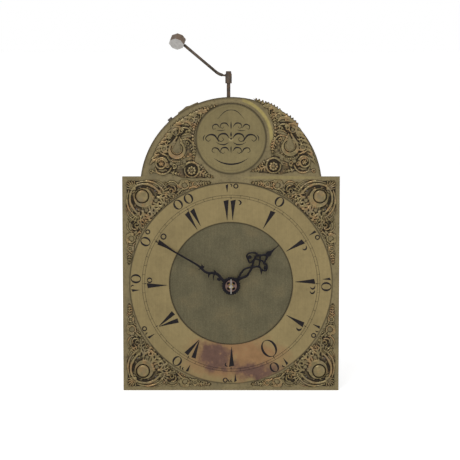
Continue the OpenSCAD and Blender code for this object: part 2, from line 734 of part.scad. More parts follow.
// Motion work between the front plate and the dial
motion_y = front_face - 6.4;
hour_y = front_face - 14.4;
pipe_r = 4;
hour_pipe_r = 5.6;
hour_hand_y = ring_front - 4.2;
minute_hand_y = hour_hand_y - 4;
washer_t = 1.8;
washer_front = minute_hand_y - washer_t;
pin_y = washer_front - pin_r - 0.1;
module drive_wheel() color("goldenrod") at(going) {
    flat(motion_y, wheel_t) wheel(motion_n, motion_m, great_pivot_r + pivot_fit, 7, 4, drive_at);
    flat(hour_y - 1, motion_y - hour_y + 1.01) difference() {
        pinion(motion_leaves, hour_m);
        circle(great_pivot_r + pivot_fit);
    }
}
module friction_spring() color("silver") at(going) flat(motion_y + wheel_t, 0.8) difference() {
    union() {
        circle(4.2);
        for (a = [0, 120, 240]) rotate(a) {
            polygon([[-3, 0], [3, 0], [1.5, 12], [-1.5, 12]]);
            translate([0, 12]) circle(1.8);
        }
    }
    circle(great_pivot_r + fixed_fit);
}
lift_pin_r = 0.9;
lift_circle = root_r(motion_n, motion_m) - rim_w(motion_n, motion_m)/2;
module minute_wheel() color("goldenrod") at(centre) {
    flat(motion_y, wheel_t) wheel(motion_n, motion_m, stud_r + pivot_fit, 7.5, 4);
    flat(minute_hand_y, motion_y - minute_hand_y + 0.01) difference() {
        circle(pipe_r);
        circle(stud_r + pivot_fit);
    }
    at(turned(lift_circle, 112)) rod(motion_y + wheel_t - 0.01, motion_y + wheel_t + 2.4, lift_pin_r);
}
module hour_wheel() color("goldenrod") at(centre) {
    flat(hour_y, wheel_t) wheel(hour_n, hour_m, pipe_r + pivot_fit, 10, 4, hour_tooth_at);
    flat(hour_hand_y, hour_y - hour_hand_y + 0.01) difference() {
        circle(hour_pipe_r);
        circle(pipe_r + pivot_fit);
    }
}
module hour_hand_half(u) {
    bar([3.2, 8*u], [4.4, 22*u], 1.9, 1.7);
    bar([4.4, 22*u], [1.5, 38*u], 1.7, 1.9);
    bar([1.4, 38*u], [6.4, 42.2*u], 2.4, 2.2);
    arc([9.6, 48.5*u], 7.6, 2.2, -125, 190);
    arc([4.4, 49.5*u], 3, 1.8, -170, 170);
    arc([6, 60*u], 4.8, 2, -150, 190);
    bar([4.6, 64*u], [0.6, 69*u], 2.2, 2.8);
}
module hour_hand() color("midnightblue") at(centre) difference() {
    flat(hour_hand_y, hand_t) rotate(-hour_at) joined() hour_hand_outline(hour_l/88, $fn = 32);
    rod(hour_hand_y - 1, hour_hand_y + hand_t + 1, hour_pipe_r + fixed_fit);
}
module hour_hand_outline(u) {
    circle(9.5);
    hour_hand_half(u);
    mirror([1, 0]) hour_hand_half(u);
    bar([0, 37*u], [0, 52*u], 3.2, 2);
    polygon([[-1, 51*u], [1, 51*u], [1.2, 64*u], [3.1, 70.5*u], [1.9, 77*u], [0, hour_l],
        [-1.9, 77*u], [-3.1, 70.5*u], [-1.2, 64*u]]);
}
// Centre line of the minute hand's scrolled root: place along the hand, sideways, width
scroll_line = [[10, 0, 3], [14, -2.2, 2.8], [19, -1.4, 2.6], [23.6, 3.4, 3.2], [28, 3.8, 2.8],
    [32, 0, 2.8], [36, -2, 2.6], [40, -0.6, 2.4], [46, 0.2, 2.6]];
scroll_leaves = [[[23.6, 3.4], [20.5, 7.4]], [[32, 0], [33.4, -6]], [[46, 0], [50.6, 6.6]],
    [[47, 0], [51.4, -4.4]], [[19, -1.4], [16.8, 2.6]]];
module minute_hand() color("midnightblue") at(centre) difference() {
    flat(minute_hand_y, hand_t) rotate(-minute_at) joined() minute_hand_outline($fn = 24);
    rod(minute_hand_y - 1, minute_hand_y + hand_t + 1, pipe_r + fixed_fit);
}
module minute_hand_outline() {
    circle(11.6);
    for (k = [0:15]) translate(turned(11.3, k*22.5)) circle(1.7);
    for (k = [1:len(scroll_line) - 1]) {
        a = scroll_line[k - 1];
        b = scroll_line[k];
        bar([a[1], a[0]], [b[1], b[0]], a[2], b[2]);
    }
    for (l = scroll_leaves) bar(flip(l[0]), flip(l[1]), 2.6, 1.2);
    translate([3.4, 47]) circle(2.4);
    polygon([[-1.5, 44.5], [-1.3, 53], [-1.1, minute_l - 8], [0, minute_l], [1.1, minute_l - 8],
        [1.3, 53], [1.5, 44.5]]);
}
module hand_washer() color("lightsalmon") at(centre) translate([0, minute_hand_y, 0]) rotate([90, 0, 0])
    difference() {
        intersection() {
            cylinder(h = washer_t, r = 8.3);
            translate([0, 0, washer_t - 24]) sphere(24, $fn = 240);
        }
        translate([0, 0, -1]) cylinder(h = 5, r = stud_r + fixed_fit);
    }
module hand_pin() color("silver") at(centre) translate([0, pin_y, -10.8]) cylinder(h = 20.6, r = pin_r);

// Strike train
module strike_great_arbor() color("silver") at(strike) {
    arbor(great_arbor_r, back_r = great_pivot_r, back_end = count_y + wheel_t + 0.6);
    seat(strike_y, wheel_t + 0.3, 1.2);
    rod(sprocket_y - 3, sprocket_y - 0.3, 5.5);
}
pin_circle = root_r(strike_n, strike_m) - rim_w(strike_n, strike_m)/2;
click_pivot = turned(27.5, 45);
click_y = sprocket_y + sprocket_w + 1.2;
ratchet_t = 2.2;
ratchet_r = 20.5;
module strike_great_wheel() color("goldenrod") at(strike) {
    mounted_wheel(strike_n, strike_m, strike_y, wheel_t, 4);
    for (k = [0:hammer_pins - 1]) at(turned(pin_circle, k*360/hammer_pins + 8))
        rod(strike_y + wheel_t - 0.01, strike_y + wheel_t + 6, 0.9);
    at(click_pivot) rod(click_y - 1, strike_y + 0.01, 1.2);
}
module strike_sprocket() color("darkgoldenrod") at(strike) {
    difference() {
        sprocket_body(sprocket_r + 4);
        rod(0, back_inner, great_arbor_r + pivot_fit);
    }
    flat(sprocket_y + sprocket_w - 0.01, click_y - sprocket_y - sprocket_w + ratchet_t) difference() {
        polygon([for (i = [0:29], p = [[1, 0], [0.9, 0.15], [0.9, 0.3]])
            turned(p[0]*ratchet_r, (i + p[1])*12)]);
        circle(great_arbor_r + pivot_fit);
    }
}
click_tip = turned(ratchet_r + rest_gap + 1.1, 82);
module click() color("silver") at(strike) flat(click_y, ratchet_t - 0.3) difference() {
    union() {
        translate(click_pivot) circle(3.2);
        bar(click_pivot, click_tip, 4, 2);
    }
    translate(click_pivot) circle(1.2 + pivot_fit);
}
module click_spring() color("lightsteelblue") at(strike) flat(click_y + 0.2, 3.4) {
    arc([0, 0], 28.4, 0.9, 66, 130);
    bar(turned(28.4, 130), turned(30.4, 135), 1.4, 3.2);
}
module hoop_arbor() color("silver") at(hoop) {
    difference() { arbor(arbor_r); rod(strike_y - 3, strike_y + 5, 8); }
    flat(strike_y - 3.01, 8.02) pinion(hoop_leaves, strike_m, hoop_leaf_at);
    rod(hoop_y - 2, hoop_y, seat_r + 1);
    rod(hoop_y - 0.01, hoop_y + wheel_t, seat_r);
}
hoop_r = 15;
hoop_w = 4;
module hoop_wheel() color("goldenrod") at(hoop) {
    mounted_wheel(hoop_n, hoop_m, hoop_y, wheel_t, 4);
    flat(hoop_y + wheel_t - 0.01, hoop_w) difference() {
        circle(hoop_r);
        circle(hoop_r - 1.4);
        polygon([[0, 0], turned(2*hoop_r, 200), turned(2*hoop_r, 225)]);
    }
}
module warning_arbor() color("silver") at(warning) {
    difference() { arbor(arbor_r*0.85); rod(hoop_y - 3, hoop_y + 5, 8); }
    flat(hoop_y - 3.01, 8.02) pinion(warning_leaves, hoop_m, warning_leaf_at);
    rod(warning_y - 2, warning_y, seat_r + 1);
    rod(warning_y - 0.01, warning_y + thin_t, seat_r);
}
warning_pin_r = 13.2;
warning_pin_l = 3;
module warning_wheel() color("goldenrod") at(warning) {
    mounted_wheel(warning_n, warning_m, warning_y, thin_t, 4);
    at(turned(warning_pin_r, 250)) rod(warning_y - warning_pin_l, warning_y + 0.01, 0.7);
}
fly_y = 20;
fly_w = 26;
fly_span = 13;
module fly_arbor() color("silver") at(fly) {
    difference() { arbor(1.3); rod(warning_y - 3, warning_y + 5, 8); }
    flat(warning_y - 3.01, 8.02) pinion(fly_leaves, warning_m, fly_leaf_at);
}
module fly() color("goldenrod") at(fly) rotate([0, 25, 0]) difference() {
    union() {
        translate([-fly_span, fly_y, -0.5]) cube([2*fly_span, fly_w, 1]);
        rod(fly_y, fly_y + fly_w, 2.4);
    }
    rod(fly_y - 1, fly_y + fly_w + 1, 1.3 + fixed_fit);
    for (x = [-1, 1]) translate([x*8 - 3, fly_y + 7, -3]) cube([6, 0.8, 6]);
}
module report_pinion() color("silver") at(strike) flat(count_y - 1, wheel_t + 1.6) difference() {
    pinion(report_leaves, count_m);
    circle(great_pivot_r + fixed_fit);
}
count_r = 32;
disc_y = count_y + wheel_t + 1;
module count_wheel() color("goldenrod") at(count) {
    flat(count_y, wheel_t) wheel(count_n, count_m, stud_r + pivot_fit, 7, 4, count_tooth_at);
    flat(count_y + wheel_t - 0.01, 1.02) difference() { circle(7); circle(stud_r + pivot_fit); }
    flat(disc_y, thin_t) difference() {
        circle(count_r);
        circle(stud_r + pivot_fit);
        for (k = [1:12]) rotate(k*(k + 1)/2*360/78)
            translate([count_r - 3.4, -1.2]) square([6, k == 12 ? 4 : 2.4]);
        for (k = [0:3]) rotate(k*90 + 20) translate([16, 0]) circle(6.5);
    }
}

// Levers
lift_tip = centre + turned(lift_circle + lift_pin_r + rest_gap + 1.4, 168);
lever_y = front_face - 3.4;
lever_t = 1.8;
module lifting_piece() color("silver") {
    flat(lever_y, lever_t) difference() {
        union() {
            translate(lifting) circle(5);
            bar(lifting, lift_tip, 6, 2.8);
            bar(lifting, warning_slot, 5, 4);
        }
        translate(lifting) circle(stud_r + pivot_fit);
    }
    flat(lever_y + 0.01, warning_y - warning_pin_l - rest_gap - lever_y) translate(warning_slot)
        bar([-1, 0], [1, 0], 3.4, 3.4);
}
hoop_tip = hoop + turned(hoop_r + rest_gap + 0.9, 68);
count_tip = count + turned(count_r + rest_gap + 1, 128);
detent_foot = [-40, (lift_tip[1] + lifting[1])/2 + 3.6 + rest_gap];
module locking_detent() color("silver") {
    at(detent) arbor(arbor_r, front_end = lever_y - lever_t - 1, back_end = disc_y + thin_t + 1);
    flat(lever_y - lever_t - rest_gap, lever_t) {
        translate(detent) circle(3.4);
        bar(detent, detent_foot, 3.6, 2.6);
    }
    at(detent_foot) rod(lever_y - rest_gap - 0.01, lever_y + lever_t, 1.2);
    flat(hoop_y + wheel_t + 1, 2) {
        translate(detent) circle(4);
        bar(detent, hoop_tip, 4, 1.8);
    }
    flat(disc_y, thin_t) {
        translate(detent) circle(4);
        bar(detent, count_tip, 4, 2);
    }
}
tail_y = strike_y + wheel_t + 1;
lifter_y = 57;
tail_tip = strike + turned(pin_circle + 0.9 + rest_gap + 1, 40);
lifter_knee = [-10, escape[1] + 4];
lifter_top = [-10, plate_h + 17];
module hammer_lifter() color("silver") {
    at(lifter) arbor(arbor_r);
    flat(tail_y, 4) {
        translate(lifter) circle(4);
        bar(lifter, tail_tip, 5, 2);
    }
    flat(lifter_y, 2) {
        translate(lifter) circle(4);
        bar(lifter, lifter_knee, 5, 4);
        bar(lifter_knee, lifter_top, 4, 4);
    }
}

// Hammer: upright arbor with its tail, barrel boss, bent arm and many-sided head
boss_h = 17;
barrel_r = 4.6;
tail_z = plate_h + 13;
module hammer_arbor() color("dimgray") {
    translate([hammer[0], hammer[1], 0]) {
        translate([0, 0, shelf_z + 4 + shake]) cylinder(h = hammer_top - shelf_z - 4 - shake, r = post_r);
        translate([0, 0, shelf_z - 0.5]) cylinder(h = 6, r = great_pivot_r);
        translate([0, 0, tail_z - 3]) cylinder(h = 9, r = 5);
    }
    translate([0, 0, tail_z]) linear_extrude(3)
        bar(hammer, [lifter_top[0] - 2 - rest_gap - 1.5, lifter_y + 1], 5, 3);
}
arm_z = hammer_top - 6;
arm_bend = 22;
arm_rise = 40;
arm_run = 58;
module hammer_arm() color("dimgray") translate([hammer[0], hammer[1], 0]) {
    difference() {
        union() {
            translate([0, 0, hammer_top - boss_h]) cylinder(h = boss_h - 3.5, r = barrel_r);
            translate([0, 0, hammer_top - 3.6]) cylinder(h = 3.6, r = barrel_r - 0.8);
        }
        translate([0, 0, hammer_top - boss_h - 1]) cylinder(h = boss_h + 2, r = post_r + fixed_fit);
    }
    difference() {
        translate([-barrel_r + 1, 0, arm_z + arm_bend]) rotate([90, 0, 0])
            rotate_extrude(angle = arm_rise, start = 270 - arm_rise)
                translate([arm_bend, 0]) circle(arm_t/2);
        translate([0, 0, arm_z - 5]) cylinder(h = 10, r = post_r + fixed_fit);
    }
    translate([-barrel_r + 1 - arm_bend*sin(arm_rise), 0, arm_z + arm_bend*(1 - cos(arm_rise))])
        rotate([0, -90 + arm_rise, 0]) translate([0, 0, -0.4]) cylinder(h = arm_run + 0.4, r = arm_t/2 + 0.1);
}
arm_end = [hammer[0] - barrel_r + 1 - arm_bend*sin(arm_rise) - arm_run*cos(arm_rise), hammer[1],
    arm_z + arm_bend*(1 - cos(arm_rise)) + arm_run*sin(arm_rise)];
head_tilt = 132.1;
head_swing = -19.7;
module hammer_head() color("saddlebrown") difference() {
    translate(arm_end + [-9.5, 0, 5]) rotate([head_tilt, 0, head_swing]) translate([0, 0, -head_l/2])
        linear_extrude(head_l) intersection() {
            circle(head_w*0.54);
            rotate(20) square([head_w, head_w*0.94], center = true);
            rotate(62) square([head_w, head_w*1.02], center = true);
        }
    translate([arm_end[0], hammer[1], arm_end[2]]) rotate([0, -90 + arm_rise, 0])
        translate([0, 0, -20]) cylinder(h = 20.02, r = arm_t/2 + 0.1 + fixed_fit);
}

dial_plate();
chapter_ring();
arch_boss();
spandrel_top_left();
spandrel_top_right();
spandrel_bottom_left();
spandrel_bottom_right();
arch_spandrel_left();
arch_spandrel_right();
spandrel_screws();
dial_feet();
arch_backing_plate();
hammer_strap();
strap_screw();
strap_washer();
front_plate();
back_plate();
pillars();
taper_pins();
back_cock();
cock_screws();
hammer_cock();
studs();
going_great_arbor();
going_great_wheel();
going_sprocket();
second_arbor();
second_wheel();
escape_arbor();
escape_wheel();
pallet_arbor();
pallets();
crutch();
drive_wheel();
friction_spring();
minute_wheel();
hour_wheel();
hour_hand();
minute_hand();
hand_washer();
hand_pin();
strike_great_arbor();
strike_great_wheel();
strike_sprocket();
click();
click_spring();
hoop_arbor();
hoop_wheel();
warning_arbor();
warning_wheel();
fly_arbor();
fly();
report_pinion();
count_wheel();
lifting_piece();
locking_detent();
hammer_lifter();
hammer_arbor();
hammer_arm();
hammer_head();
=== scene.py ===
"""Looks of the arched brass dial and 30-hour movement of a longcase clock, out of its case.

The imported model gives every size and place. This script adds the cast spandrels, the engraved
figures, the pierced hands and the finish of each surface. Lengths inside it are in millimetres,
and what it hands to Blender is in metres.
"""

import math

import bmesh
import bpy
import numpy as np
from bpy.props import FloatProperty, FloatVectorProperty, IntProperty, PointerProperty
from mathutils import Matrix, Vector


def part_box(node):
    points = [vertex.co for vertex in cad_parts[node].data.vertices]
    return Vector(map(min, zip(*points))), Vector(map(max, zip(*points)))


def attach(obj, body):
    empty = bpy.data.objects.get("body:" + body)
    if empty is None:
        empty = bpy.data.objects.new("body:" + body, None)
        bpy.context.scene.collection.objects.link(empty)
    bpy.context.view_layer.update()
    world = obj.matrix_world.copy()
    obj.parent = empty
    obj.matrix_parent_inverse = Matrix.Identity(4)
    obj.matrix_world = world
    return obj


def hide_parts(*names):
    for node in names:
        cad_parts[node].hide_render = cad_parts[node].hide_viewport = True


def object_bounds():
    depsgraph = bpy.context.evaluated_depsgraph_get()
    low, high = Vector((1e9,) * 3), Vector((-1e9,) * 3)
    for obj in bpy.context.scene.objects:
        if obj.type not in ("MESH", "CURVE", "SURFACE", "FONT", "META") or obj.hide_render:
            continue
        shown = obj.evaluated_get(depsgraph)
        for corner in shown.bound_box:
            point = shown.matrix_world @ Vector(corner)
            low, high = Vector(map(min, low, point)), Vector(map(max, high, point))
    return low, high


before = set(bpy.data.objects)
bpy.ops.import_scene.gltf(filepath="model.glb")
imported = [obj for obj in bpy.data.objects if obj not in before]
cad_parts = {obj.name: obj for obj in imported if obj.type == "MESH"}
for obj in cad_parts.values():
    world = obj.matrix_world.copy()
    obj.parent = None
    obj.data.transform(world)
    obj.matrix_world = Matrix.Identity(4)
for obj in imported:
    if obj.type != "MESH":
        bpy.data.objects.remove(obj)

bl_info = {
    "name": "Longcase clock dial and movement",
    "version": (1, 0, 0),
    "blender": (4, 5, 0),
    "location": "3D View > Sidebar > Clock dial",
    "description": "Cast, engraved and blued pieces of a longcase clock dial, and their finishes",
    "category": "Add Mesh",
}

MM = 0.001
CAD_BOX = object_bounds()


def box_mm(node):
    """Lowest and highest corner of a node, in millimetres."""
    low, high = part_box(node)
    return low / MM, high / MM


PLATE_LOW, PLATE_HIGH = box_mm("dial_plate")
RING_LOW, RING_HIGH = box_mm("chapter_ring")
BOSS_LOW, BOSS_HIGH = box_mm("arch_boss")
WASHER_LOW, WASHER_HIGH = box_mm("hand_washer")
HALF_W = PLATE_HIGH.x
DIAL_FRONT = PLATE_LOW.y
RING_FRONT = RING_LOW.y
RING_R = RING_HIGH.x
RING_Z = (RING_LOW.z + RING_HIGH.z) / 2
BOSS_R = BOSS_HIGH.x
BOSS_Z = (BOSS_LOW.z + BOSS_HIGH.z) / 2
HANDS_Z = (WASHER_LOW.z + WASHER_HIGH.z) / 2
# the boxes don't give the ring's opening, nor half the arch's width where it meets the shoulder
RING_INNER_R = 87.0
ARCH_HALF = 126.5
# the way that the pale front face of the hammer head looks
HAMMER_FACING = (-0.25, -0.699, -0.67)


def linear(code):
    """An sRGB hex value as linear red, green and blue."""
    parts = [int(code[k:k + 2], 16) / 255 for k in (1, 3, 5)]
    return tuple(c / 12.92 if c <= 0.04045 else ((c + 0.055) / 1.055) ** 2.4 for c in parts)


def length(name, description, default, low, high):
    """A length property, given in millimetres and kept in metres."""
    return FloatProperty(name=name, description=description, default=default * MM, min=low * MM,
                         max=high * MM, unit="LENGTH", subtype="DISTANCE", precision=5)


def colour(name, description, code):
    """A colour property, given as an sRGB hex value."""
    return FloatVectorProperty(name=name, description=description, size=3, min=0.0, max=1.0,
                               subtype="COLOR", default=linear(code))


class ClockSizes(bpy.types.PropertyGroup):
    """Sizes of the pieces that are built here."""
    square_height: length("Square height", "Height of the square part of the dial", 304, 290, 362)
    casting_step: length("Casting step", "Grid of the cast spandrels' relief", 0.62, 0.3, 2)
    hand_step: length("Hand step", "Grid of the hands' relief", 0.4, 0.2, 1)
    casting_height: length("Casting height", "Height of the castings' ridges", 2.4, 1.5, 4)
    casting_gap: length("Casting gap", "Room between a casting and the ring or boss", 1.0, 0.5, 3)
    border: length("Border", "Bare border outside the corner castings", 4.6, 2, 10)
    figure_rise: length("Figure rise", "How far the wax stands out of the ring", 0.12, 0.05, 0.3)
    hour_inner: length("Hour figures, inner", "Radius where the hour figures begin", 90, 80, 100)
    hour_outer: length("Hour figures, outer", "Radius where the hour figures end", 118.4, 110, 121)
    track_inner: length("Minute track, inner", "Radius of the track's inner circle", 121.7, 110, 130)
    track_outer: length("Minute track, outer", "Radius of the track's outer circle", 125.2, 112, 132)
    matt_radius: length("Matted centre", "Radius of the matted centre of the dial", 87.4, 70, 100)
    minute_angle: FloatProperty(name="Minute hand", description="Angle of the minute hand from 12",
                                default=math.radians(300), unit="ROTATION", subtype="ANGLE")
    hour_angle: FloatProperty(name="Hour hand", description="Angle of the hour hand from 12",
                              default=math.radians(49.7), unit="ROTATION", subtype="ANGLE")
    seed: IntProperty(name="Seed", description="Seed of the castings' unevenness", default=11, min=0)


class ClockColours(bpy.types.PropertyGroup):
    """Colours of the finishes."""
    dial_brass: colour("Dial brass", "Aged sheet brass of the dial plate", "#766A4C")
    matted_brass: colour("Matted centre", "Brown-green brass of the matted centre", "#605A44")
    clean_brass: colour("Clean brass", "Brass that a casting used to cover", "#988A56")
    ring_brass: colour("Ring brass", "Brass of the chapter ring", "#83744F")
    stain: colour("Stain", "Purple-brown stain at the foot of the ring", "#62493E")
    stain_edge: colour("Stain edge", "Orange-brown edge of the stain", "#8A6A48")
    cast_brass: colour("Cast brass", "Rubbed ridges of the castings", "#766948")
    # old dirt with painted shade in the castings' hollows; also the colour of the dark bands, painted
    # shade along the ring's and boss's edges
    cast_dirt: colour("Cast dirt", "Old dirt in the castings", "#2E271C")
    cast_copper: colour("Cast copper tint", "Copper-coloured patches of the castings", "#94704A")
    boss_brass: colour("Boss brass", "Brass of the boss in the arch", "#786C4A")
    plate_brass: colour("Movement brass", "Hammered brass of the movement's plates", "#A08A55")
    wheel_brass: colour("Wheel brass", "Brass of the wheels", "#AC9258")
    wax: colour("Engraver's wax", "Black wax in the engraving", "#161416")
    blued_steel: colour("Blued steel", "Blued steel of the hands", "#18161B")
    arbor_steel: colour("Arbor steel", "Turned steel of the arbors", "#8E8A82")
    lever_steel: colour("Lever steel", "Filed steel of the levers", "#6E6A64")
    dark_iron: colour("Dark iron", "Old iron of the hammer's arm and strap", "#4E453C")
    hammer_steel: colour("Hammer steel", "Browned steel of the hammer head", "#6B5A4C")
    hammer_face: colour("Hammer face", "Pale polished face of the hammer head", "#BAB7B3")
    screw_steel: colour("Screw steel", "Dark steel of the screws", "#57504A")
    copper_brass: colour("Washer", "Copper-pink brass of the domed washer", "#6C564D")
    pin_steel: colour("Pin", "Bright steel of the taper pins", "#8F8B85")


def sizes():
    return bpy.context.scene.clock_sizes


def colours():
    return bpy.context.scene.clock_colours


def arch():
    """Radius and centre height of the dial's arch, and the height of the shoulder it stands on."""
    shoulder = PLATE_LOW.z + sizes().square_height / MM
    rise = PLATE_HIGH.z - shoulder
    radius = (ARCH_HALF ** 2 + rise ** 2) / (2 * rise)
    return radius, PLATE_HIGH.z - radius, shoulder


# Nodes and finishes

def add(tree, kind, inputs=None, **settings):
    """Adds a node with its settings. An input given a socket is linked, any other is set."""
    node = tree.nodes.new(kind)
    for name, value in settings.items():
        setattr(node, name, value)
    for name, value in (inputs or {}).items():
        if isinstance(value, bpy.types.NodeSocket):
            tree.links.new(value, node.inputs[name])
        else:
            node.inputs[name].default_value = value
    return node


def begin(name, metallic, roughness):
    """A new material: its node tree, its shader and where on the object a point lies."""
    material = bpy.data.materials.new(name)
    material.use_nodes = True
    tree = material.node_tree
    tree.nodes.clear()
    shader = add(tree, "ShaderNodeBsdfPrincipled", {"Metallic": metallic, "Roughness": roughness})
    add(tree, "ShaderNodeOutputMaterial", {"Surface": shader.outputs["BSDF"]})
    return tree, shader, add(tree, "ShaderNodeTexCoord").outputs["Object"]


def dress(tree, shader, skin, rough=None, height=None, strength=0.0, depth_mm=0.0):
    """Gives a shader its colour, its uneven roughness and the fine relief that meshes leave out."""
    tree.links.new(skin, shader.inputs["Base Color"])
    if rough:
        tree.links.new(rough, shader.inputs["Roughness"])
    if height:
        bump = add(tree, "ShaderNodeBump", {"Height": height, "Strength": strength,
                                            "Distance": depth_mm * MM})
        tree.links.new(bump.outputs["Normal"], shader.inputs["Normal"])


def patches(tree, where, size_mm, stops, detail=4.0, uneven=0.6):
    """Soft patches about size_mm wide, coloured through a ramp of (place, colour) stops."""
    spots = add(tree, "ShaderNodeTexNoise", {"Vector": where, "Scale": 1 / (size_mm * MM),
                                             "Detail": detail, "Roughness": uneven})
    ramp = add(tree, "ShaderNodeValToRGB", {"Fac": spots.outputs["Fac"]})
    while len(ramp.color_ramp.elements) < len(stops):
        ramp.color_ramp.elements.new(0.5)
    for element, (place, tone) in zip(ramp.color_ramp.elements, stops):
        element.position = place
        element.color = (*tone, 1) if isinstance(tone, tuple) else (tone, tone, tone, 1)
    return ramp.outputs["Color"]


def grain(tree, where, size_mm, detail=2.0, squeeze=None, turn=0.0):
    """Height of an uneven grain about size_mm wide, finer along each axis by its squeeze."""
    if squeeze:
        where = add(tree, "ShaderNodeMapping", {"Vector": where, "Rotation": (0, turn, 0),
                                                "Scale": squeeze}).outputs[0]
    return add(tree, "ShaderNodeTexNoise", {"Vector": where, "Scale": 1 / (size_mm * MM),
                                            "Detail": detail}).outputs["Fac"]


def shade(rgb, gain, tint=(1, 1, 1)):
    """A colour made lighter or darker, and tinted."""
    return tuple(min(1.0, c * gain * t) for c, t in zip(rgb, tint))


def layered(tree, skin, *coats):
    """A skin under coats, each given as (how much it covers, its colour, how it blends).

    The blending node repeats the names of its sockets, so they go by place."""
    for cover, coat, blend in coats:
        skin = add(tree, "ShaderNodeMix", {0: cover, 6: skin, 7: coat}, data_type="RGBA",
                   blend_type=blend, clamp_factor=True).outputs[2]
    return skin


def near(tree, where, centre, half, soft=0.5):
    """1 inside an ellipsoid about centre (mm) with half sizes (mm), falling softly to 0 outside."""
    moved = add(tree, "ShaderNodeVectorMath", {0: where, 1: [c * MM for c in centre]},
                operation="SUBTRACT").outputs[0]
    scaled = add(tree, "ShaderNodeVectorMath", {0: moved, 1: [1 / (h * MM) for h in half]},
                 operation="MULTIPLY").outputs[0]
    away = add(tree, "ShaderNodeVectorMath", {0: scaled}, operation="LENGTH").outputs[1]
    return add(tree, "ShaderNodeMapRange", {"Value": away, "From Min": 1 + soft, "From Max": 1 - soft,
                                            "To Min": 0.0, "To Max": 1.0},
               interpolation_type="SMOOTHSTEP").outputs[0]


def wiped(tree, where, skin, share):
    """Faint upright wiping marks, about 1 mm wide and 30 mm long."""
    thin = add(tree, "ShaderNodeMapping", {"Vector": where, "Scale": (1, 1, 0.04)}).outputs[0]
    marks = patches(tree, thin, 1.6, [(0.3, 0.88), (0.7, 1.08)], 3)
    return layered(tree, skin, (share, marks, "MULTIPLY"))


def grimed(tree, where, skin, centre_z, circles):
    """Dark bands along circles about a point of the dial's middle line, given as (radius, side) in mm:
    a negative side darkens inside the circle, and a positive one outside it. Along the edges of the
    ring and the boss these bands are painted contact shade."""
    flat = add(tree, "ShaderNodeVectorMath", {0: where, 1: (1, 0, 1)}, operation="MULTIPLY")
    radius = add(tree, "ShaderNodeVectorMath", {0: flat.outputs[0], 1: (0, 0, centre_z * MM)},
                 operation="DISTANCE").outputs[1]
    band_dark = (*shade(tuple(colours().cast_dirt), 0.9), 1)
    for circle, side in circles:
        dark = add(tree, "ShaderNodeMapRange", {"Value": radius, "From Min": (circle + side) * MM,
                                                "From Max": circle * MM, "To Max": 0.8})
        skin = layered(tree, skin, (dark.outputs[0], band_dark, "MIX"))
    return skin


def bared(tree, where, place):
    """Where castings lay before one slipped: a crescent beside the boss, and more faintly a strip
    along the shoulder."""
    crescent = add(tree, "ShaderNodeMath", {
        0: near(tree, where, (1.5, DIAL_FRONT, BOSS_Z), [BOSS_R + 8.4] * 3, 0.02),
        1: near(tree, where, (0.5, DIAL_FRONT, BOSS_Z), [BOSS_R + 4.6] * 3, 0.02)},
        operation="SUBTRACT", use_clamp=True).outputs[0]
    for axis, start, full in (("X", 14, 18), ("Z", BOSS_Z - 16, BOSS_Z + 8)):
        share = add(tree, "ShaderNodeMapRange", {"Value": place[axis], "From Min": start * MM,
                                                 "From Max": full * MM}).outputs[0]
        crescent = add(tree, "ShaderNodeMath", {0: crescent, 1: share},
                       operation="MULTIPLY").outputs[0]
    strip = near(tree, where, (72, DIAL_FRONT, BOSS_Z - 54.6), (50, 9, 2.4), 0.35)
    strip = add(tree, "ShaderNodeMath", {0: strip, 1: 0.4}, operation="MULTIPLY").outputs[0]
    return add(tree, "ShaderNodeMath", {0: crescent, 1: strip}, operation="MAXIMUM").outputs[0]


